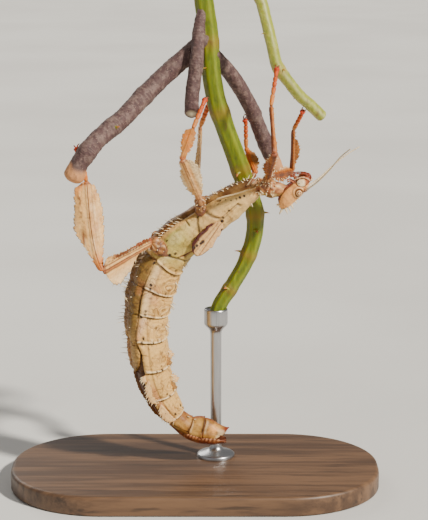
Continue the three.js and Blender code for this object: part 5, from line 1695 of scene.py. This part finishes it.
# %% Mouth: jaws, lip and beaded palps
def blob_form(seat, axis, across, long, wide, high, masks):
    """A rounded block with its long way along an axis."""
    axis, across = unit(axis), unit(across)
    up = cross(axis, across)

    def form(t, angle, reach):
        turn = pi * t
        round_off = sin(turn) ** 0.85 * reach
        spot = seat - axis * (long * cos(turn))[:, None]
        spot = spot + across * (wide * round_off * cos(angle))[:, None]
        spot = spot + up * (high * round_off * sin(angle))[:, None]
        spot = spot + up * (0.06 * wobble(spot, 1.1, 71) * round_off)[:, None]
        return spot, {name: level * (0.8 + 0.2 * cos(3 * angle)) for name, level in masks.items()}

    return form


def beaded_form(route, thick, beads, masks):
    """A chain of short beads along a route."""

    def form(t, angle, reach):
        centre, across, up, _ = curve_frame(route, t)
        share = (t * beads) % 1
        radius = thick * (1 - 0.3 * t) * (0.72 + 0.33 * sin(pi * share) ** 0.7)
        radius = radius * domed_end(t, 0.93, 0.071)
        ring = out_from(across, up, angle)
        spot = centre + ring * (radius * reach)[:, None]
        pinch = bump(minimum(share, 1 - share), 0, 0.1)
        return spot, {**masks, "dark": 0.45 * pinch}

    return form


# Palps: thickness, beads, masks, and a route as on_head takes it: along, brow, left.
PALPS = (
    (
        0.27, 7, {"red": 0.8},
        ((5.2, 1.9, 1), (7, 1.3, 1.3), (6.7, -0.4, 1.5), (5.5, -2.1, 1.5), (4.3, -3.5, 1.2)),
    ),
    (
        0.28, 6, {"rose": 0.4, "white": 0.45},
        ((3, -2.1, 1.6), (4.3, -1.5, 1.9), (5.7, 0.1, 1.9), (5.9, 2.1, 1.7)),
    ),
    (0.34, 3, {"red": 0.5}, ((3.4, -1.2, 1.2), (3.9, -2.6, 1.5), (3, -3.8, 1.4))),
    (0.3, 3, {"rose": 0.5}, ((2.4, -1.6, 1.4), (2.2, -2.8, 1.8), (1.2, -3.4, 1.6))),
)
mouth = []
for side in (1, -1):
    seat = on_head(5.3, 1, side * 0.9)
    jaw = blob_form(seat, HEAD_AXIS, LEFT, 1.25, 1.05, 1.25, {"rust": 0.55, "rose": 0.4})
    mouth.append(shaped(bench_tube("jaw_part", 32, 24), jaw))
    for thick, beads, masks, spots in PALPS:
        line = array([on_head(a, b, side * c) for a, b, c in spots])
        bead = beaded_form(line, thick, beads, masks)
        mouth.append(shaped(bench_tube("palp_part", 18, 90), bead))
lip_masks = {"white": 0.6, "rose": 0.3}
lip = blob_form(on_head(6.2, 1.9, 0), BROW_WAY + HEAD_AXIS, LEFT, 0.7, 1.15, 0.55, lip_masks)
mouth.append(shaped(bench_tube("lip_part", 32, 24), lip))
core = blob_form(on_head(5.4, -0.1, 0), HEAD_AXIS, LEFT, 1.3, 1.35, 1.6, {"rust": 0.7})
mouth.append(shaped(bench_tube("mouth_core", 32, 24), core))
mouth_skin = united("mouth", mouth)
mouth_cuticle = cuticle_finish(
    "mouth_cuticle", (0.4, 0.11, 0.035),
    [
        ("red", (0.2, 0.022, 0.009)), ("rust", (0.16, 0.02, 0.007)), ("rose", ROSE), ("white", SHELL_WHITE),
        ("dark", UMBER),
    ],
    0.4, 0.05,
)
dress(mouth_skin, mouth_cuticle, "red_cuticle", "mouthparts")

# %% Feelers
FEELERS = {
    "left": [
        (33.6, -2.1, 99.9), (37.3, -5, 103.2), (41.1, -8, 107.7), (44.1, -10.5, 111.9), (46.9, -13, 114.8),
    ],
    "right": [
        (33.6, 2.1, 99.9), (37.9, 4.5, 102.4), (42.8, 7, 106.4), (47.2, 9, 109.6), (51.4, 11, 111.8),
    ],
}


def feeler_form(route):
    """A stout first bead, then beads that grow longer and thinner."""

    def form(t, angle, reach):
        centre, across, up, _ = curve_frame(route, t)
        share = (26 * t**0.85) % 1
        radius = 0.27 - 0.09 * t + 0.22 * bump(t, 0.035, 0.035)
        radius = radius * (0.9 + 0.12 * sin(pi * share) ** 2)
        radius = radius * domed_end(t, 0.98, 0.021)
        ring = out_from(across, up, angle)
        pinch = bump(minimum(share, 1 - share), 0, 0.09)
        return centre + ring * (radius * reach)[:, None], {
            "dark": 0.45 * pinch + 0.15 * ramp(t, 0.6, 1), "rose": 0.8 * fall(t, 0.02, 0.12),
        }

    return form


feeler_cuticle = cuticle_finish(
    "feeler_cuticle", (0.8, 0.64, 0.4), [("rose", ROSE), ("dark", (0.2, 0.09, 0.04))], 0.45, 0.03
)
for hand, route in FEELERS.items():
    feeler = shaped(bench_tube(f"feeler_{hand}", 14, 260), feeler_form(route))
    dress(feeler, feeler_cuticle, "feeler", f"antenna_{hand}")

# %% [markdown]
# ## Bramble stems
# A bramble cane is ribbed lengthwise and thorned, and its side twigs wear a purple bark with pale
# specks.  Each stem is one tube bent along its route.  Ribs run the whole length at fixed angles,
# and the nodes swell.  The cut ends are flat with pale wood inside, but for two twigs: the hind
# one's first end has healed round, and the middle one's is cut on a slant.

# %% The form that every stem shares
STEM_NODES = {
    "perch_cane": [0.18, 0.34, 0.5, 0.62, 0.74, 0.86], "perch_twig_hind": [0.22, 0.48, 0.7],
    "perch_twig_mid": [0.4, 0.72], "perch_twig_far": [0.45], "perch_stem_fore": [0.3, 0.62],
}


# How a first end differs: how far it is drawn out in mm, 1 if it has healed round, and its slant.
FIRST_ENDS = {"perch_twig_hind": (2.1, 1, 0), "perch_twig_mid": (2, 0, 1.3)}


def stem_form(name, ribs, rib_height, rough, masks_at):
    """A stem along its route, with ribs, swollen nodes, uneven bark and its cut ends."""
    drawn, healed, slant = FIRST_ENDS.get(name, (0, 0, 0))
    route = STEMS[name]
    steps = linspace(0, 1, 801)
    length = norm(np.diff(catmull(route, steps), axis=0), axis=1).sum()

    def form(t, angle, reach):
        centre, across, up, along = curve_frame(route, t)
        radius = STEM_RADIUS[name](t)
        ring = out_from(across, up, angle)
        bare = centre + ring * radius[:, None]
        uneven, grain = wobble(bare, 4, 81), wobble(bare, 1.1, 82)
        knots = sum(bump(t * length, node * length, 1.6) for node in STEM_NODES[name])
        rib = abs(cos(ribs / 2 * angle)) ** 3 if ribs else 0 * t
        relief = rib_height * rib + 0.22 * knots - 0.1 + rough * (0.06 * uneven + 0.05 * grain)
        end_gap = minimum(t, 1 - t) * length
        callus = clip(1 - t * length / 3, 0, 1) * healed
        callus = radius * (1 - sqrt(1 - 0.9 * callus**2))
        edge = 0.3 * ramp(-end_gap, -0.5, 0) + callus
        spot = centre + ring * ((radius + relief - edge) * reach)[:, None]
        spot = spot - along * (drawn * fall(t * length, 0, 9))[:, None]
        lean = slant * fall(t * length, 0, 7)
        spot = spot + along * (lean * radius * (1 - ring[:, 1] * reach) / 2)[:, None]
        masks = masks_at(t, angle, rib, knots, uneven, grain, length)
        masks["pith"] = (end_gap < 1e-6) * ramp(-reach, -0.98, -0.8)
        return spot, masks

    return form


# %% Finishes of cane, bark and young stem
finish = Finish(
    "cane_skin", (0.105, 0.145, 0.003), 0.55, Subsurface_Weight=0.04, Specular_IOR_Level=0.35
)
cane_along = finish.stretched((1, 1, 0.12))
streaks = finish.noise(0.9, 4, cane_along)
finish.stain((0.175, 0.225, 0.004), finish.band(streaks, 0.45, 0.72, 0.8))
finish.stain((0.065, 0.095, 0.006), finish.band(finish.noise(3), 0.5, 0.72, 0.75))
# The ribs' colour is partly their own paler green and partly painted highlight.
finish.paint([
    ("ribs", (0.26, 0.3, 0.01)), ("warm", (0.36, 0.12, 0.02)), ("dark", (0.12, 0.045, 0.02)),
    ("pith", (0.62, 0.55, 0.3)),
])
cane_skin = finish.done(streaks, 0.1)

finish = Finish("twig_bark", (0.09, 0.044, 0.042), 0.72)
bark_blotch = finish.noise(2.2, 5)
finish.stain((0.2, 0.125, 0.105), finish.band(bark_blotch, 0.46, 0.64, 0.85))
finish.stain((0.045, 0.024, 0.024), finish.band(finish.noise(0.8, 5), 0.5, 0.7, 0.7))
finish.stain((0.36, 0.24, 0.17), finish.band(finish.cells(0.85), 0.22, 0.1, 0.6))
finish.paint([
    ("pale", (0.27, 0.19, 0.15)), ("warm", (0.58, 0.26, 0.1)), ("dark", (0.04, 0.022, 0.02)),
    ("pith", (0.86, 0.74, 0.48)),
])
twig_bark = finish.done(finish.noise(0.7, 6, rough=0.7), 0.22)

finish = Finish("young_stem", (0.29, 0.325, 0.025), 0.5, Subsurface_Weight=0.05)
finish.stain((0.43, 0.44, 0.085), finish.band(finish.noise(1.2, 4), 0.45, 0.7, 0.8))
finish.stain((0.19, 0.23, 0.03), finish.band(finish.noise(4), 0.5, 0.75, 0.6))
finish.paint([
    ("ribs", (0.55, 0.53, 0.26)), ("warm", (0.45, 0.22, 0.07)), ("dark", (0.2, 0.1, 0.04)),
    ("pith", (0.62, 0.56, 0.34)),
])
young_stem = finish.done(finish.noise(0.6, 4), 0.06)


# %% Stems with their bark
def green_masks(t, angle, rib, knots, uneven, grain, length):
    """Pale ribs, partly painted highlights on their crests, one orange rib, and brown scars at the nodes."""
    warm_rib = bump(cos(angle - 0.4), 1, 0.06) * ramp(t, 0.3, 0.4)
    return {
        # Pale ribs: partly their own colour, partly painted highlight on the crests.
        "ribs": 0.55 * rib * (0.8 + 0.3 * uneven), "dark": 0.45 * ramp(grain + uneven, 1.3, 2),
        "warm": most(0.5 * warm_rib, 0.3 * knots),
    }


def bark_masks(t, angle, rib, knots, uneven, grain, length):
    """Pale wrinkles round the nodes and, on the long hind twig, a warm swollen first end."""
    rings = cos(2 * pi * (t * length / 0.8 + 0.3 * uneven))
    return {
        "pale": most(
            0.6 * ramp(rings, 0.55, 0.95) * (0.15 + 0.5 * knots), 0.25 * ramp(uneven, 0.3, 1.2)
        ),
        "warm": 0.95 * fall(t * length + 0.9 * uneven, 5.4, 7.6) * (length > 45),
        "dark": 0.5 * ramp(grain, 0.8, 1.5),
    }


# Ribs, their height, roughness, masks, material, slot, and the sides and rings of the tube.
STEM_LOOKS = {
    "perch_cane": (6, 0.26, 0.6, green_masks, cane_skin, "green_stem", 60, 420),
    "perch_stem_fore": (5, 0.1, 0.8, green_masks, young_stem, "pale_stem", 48, 300),
    "perch_twig_hind": (0, 0, 2, bark_masks, twig_bark, "bark", 64, 260),
    "perch_twig_mid": (0, 0, 1.8, bark_masks, twig_bark, "bark", 56, 180),
    "perch_twig_far": (0, 0, 1.8, bark_masks, twig_bark, "bark", 56, 200),
}
for name, (ribs, rib_height, rough, masks_at, material, slot, sides, rings) in STEM_LOOKS.items():
    form = stem_form(name, ribs, rib_height, rough, masks_at)
    stem = shaped(bench_tube(name.replace("perch", "bramble"), sides, rings), form)
    dress(stem, material, slot, name)

# %% Thorns of each stem: share along it, degrees round it, and size
THORNS = {
    "perch_cane": (
        (0.18, 200, 1), (0.34, 60, 0.9), (0.5, 250, 1.1), (0.56, 150, 1), (0.62, 20, 1.2),
        (0.66, 280, 1), (0.74, 170, 1.2), (0.79, 60, 1), (0.86, 240, 1.1), (0.91, 120, 0.9),
    ),
    "perch_stem_fore": ((0.3, 90, 0.7), (0.45, 210, 0.6), (0.62, 300, 0.7), (0.8, 140, 0.6)),
    "perch_twig_hind": ((0.48, 260, 0.9), (0.7, 120, 0.8)),
    "perch_twig_mid": ((0.4, 160, 0.7),),
    "perch_twig_far": ((0.45, 40, 0.8),),
}
plantings = []
for name, thorns in THORNS.items():
    for share, turn, size in thorns:
        centre, across, up, along = curve_frame(STEMS[name], share)
        way = across[0] * math.cos(math.radians(turn)) + up[0] * math.sin(math.radians(turn))
        radius = float(STEM_RADIUS[name](share))
        plantings.append((centre[0] + way * (radius - 0.15), way, size, along[0], (0.75, 1.25, 1)))
finish = Finish("thorn_horn", (0.26, 0.27, 0.02), 0.4, Coat_Weight=0.2)
finish.stain((0.52, 0.16, 0.03), finish.band(finish.mask("tip"), 0.25, 0.7))
finish.stain((0.2, 0.05, 0.02), finish.band(finish.mask("tip"), 0.88, 1))
thorn_horn = finish.done(finish.noise(0.5), 0.04)
hedge("bramble_thorns", thorn_master, plantings, thorn_horn, "green_stem")

# %% [markdown]
# ## Stand
# The base is a flat oval board with a rounded rim, cut from a cube whose upright edges are bevelled
# round.  The rod is turned: a circle extruded and widened step by step from its foot to its cup.

# %% Base
ROD_FOOT = Vector((6.6, 8, 0)) * MM
alone()
bpy.ops.mesh.primitive_cube_add(size=1, location=(0, 0, 3 * MM))
base = bpy.context.object
base.name = "display_base"
base.scale = (116 * MM, 66 * MM, 6 * MM)
bpy.ops.object.transform_apply(location=True, rotation=True, scale=True)


def bevel_edges(piece, chosen, width, segments):
    """Bevels the edges for which chosen(first, second) is true of their two ends."""
    spots = read_places(piece)
    ends = array([edge.vertices[:] for edge in piece.data.edges])
    pick_edges(piece, [bool(chosen(spots[a], spots[b])) for a, b in ends])
    bpy.ops.mesh.bevel(offset=width, segments=segments, affect="EDGES", profile=0.5)
    bpy.ops.object.mode_set(mode="OBJECT")


bevel_edges(base, lambda a, b: abs(a[2] - b[2]) > 1 * MM, 30 * MM, 20)
bevel_edges(base, lambda a, b: min(a[2], b[2]) > 5.9 * MM, 1.2 * MM, 5)
bevel_edges(base, lambda a, b: max(a[2], b[2]) < 0.1 * MM, 0.5 * MM, 2)
finish_surface(base)
bpy.ops.object.shade_smooth_by_angle(angle=math.radians(30))
wood = Finish("oiled_walnut", (0.075, 0.038, 0.019), 0.5, Coat_Weight=0.08, Coat_Roughness=0.3)
grain_place = wood.stretched((0.06, 1, 0.5))
wood_grain = wood.noise(5, 6, grain_place, 0.65)
wood.stain((0.16, 0.085, 0.042), wood.band(wood_grain, 0.42, 0.62))
wood.stain((0.035, 0.018, 0.01), wood.band(wood.noise(1.6, 4, grain_place), 0.56, 0.7, 0.8))
dress(base, wood.done(wood.noise(0.9, 4, grain_place), 0.03), "base_wood", "stand_base")


# %% Rod
def turned(name, sides, profile):
    """A round piece turned from a profile of (radius, height) in millimetres."""
    alone()
    radius, height = profile[0]
    bpy.ops.mesh.primitive_circle_add(
        vertices=sides, radius=radius * MM, fill_type="NGON", location=(0, 0, height * MM)
    )
    piece = bpy.context.object
    piece.name = name
    bpy.ops.object.transform_apply(location=True, rotation=True, scale=True)
    bpy.ops.object.mode_set(mode="EDIT")
    bpy.ops.mesh.select_all(action="SELECT")
    for next_radius, next_height in profile[1:]:
        step = (0, 0, (next_height - height) * MM)
        bpy.ops.mesh.extrude_region_move(TRANSFORM_OT_translate={"value": step})
        width = next_radius / radius
        bpy.ops.transform.resize(value=(width, width, 1), center_override=(0, 0, next_height * MM))
        radius, height = next_radius, next_height
    bpy.ops.object.mode_set(mode="OBJECT")
    return piece


ROD_PROFILE = [
    (5.9, 6.02), (6, 6.1), (6, 6.9), (5.8, 7.15), (5, 7.6), (3.2, 8), (2.3, 8.5), (1.85, 9.4),
    (1.75, 10.5), (1.75, 30), (1.75, 46.2), (1.85, 47.2), (2.3, 48.1), (3.2, 49), (3.65, 49.6),
    (3.75, 50.2), (3.75, 54.2), (3.68, 54.5), (3.5, 54.65), (3.3, 54.6), (3.15, 54.3), (2, 54.1),
    (0.3, 54.1),
]
rod = turned("display_rod", 56, ROD_PROFILE)
write_places(rod, read_places(rod) + array(ROD_FOOT))
finish_surface(rod)
bpy.ops.object.shade_smooth_by_angle(angle=math.radians(40))
steel = Finish("brushed_steel", (0.5, 0.5, 0.51), 0.3, Metallic=1)
brush_place = steel.stretched((1, 1, 0.03))
brushing = steel.noise(0.35, 4, brush_place)
steel.stain((0.34, 0.34, 0.35), steel.band(brushing, 0.45, 0.75, 0.7))
dress(rod, steel.done(brushing, 0.01), "rod_metal", "stand_rod")

# %% [markdown]
# ## Clearing the bench
# The masters are scaffolding and are thrown away.

# %% Clear the bench
for master in (spine_master, claw_master, thorn_master):
    choose(master)
    bpy.ops.object.delete()
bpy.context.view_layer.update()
alone()
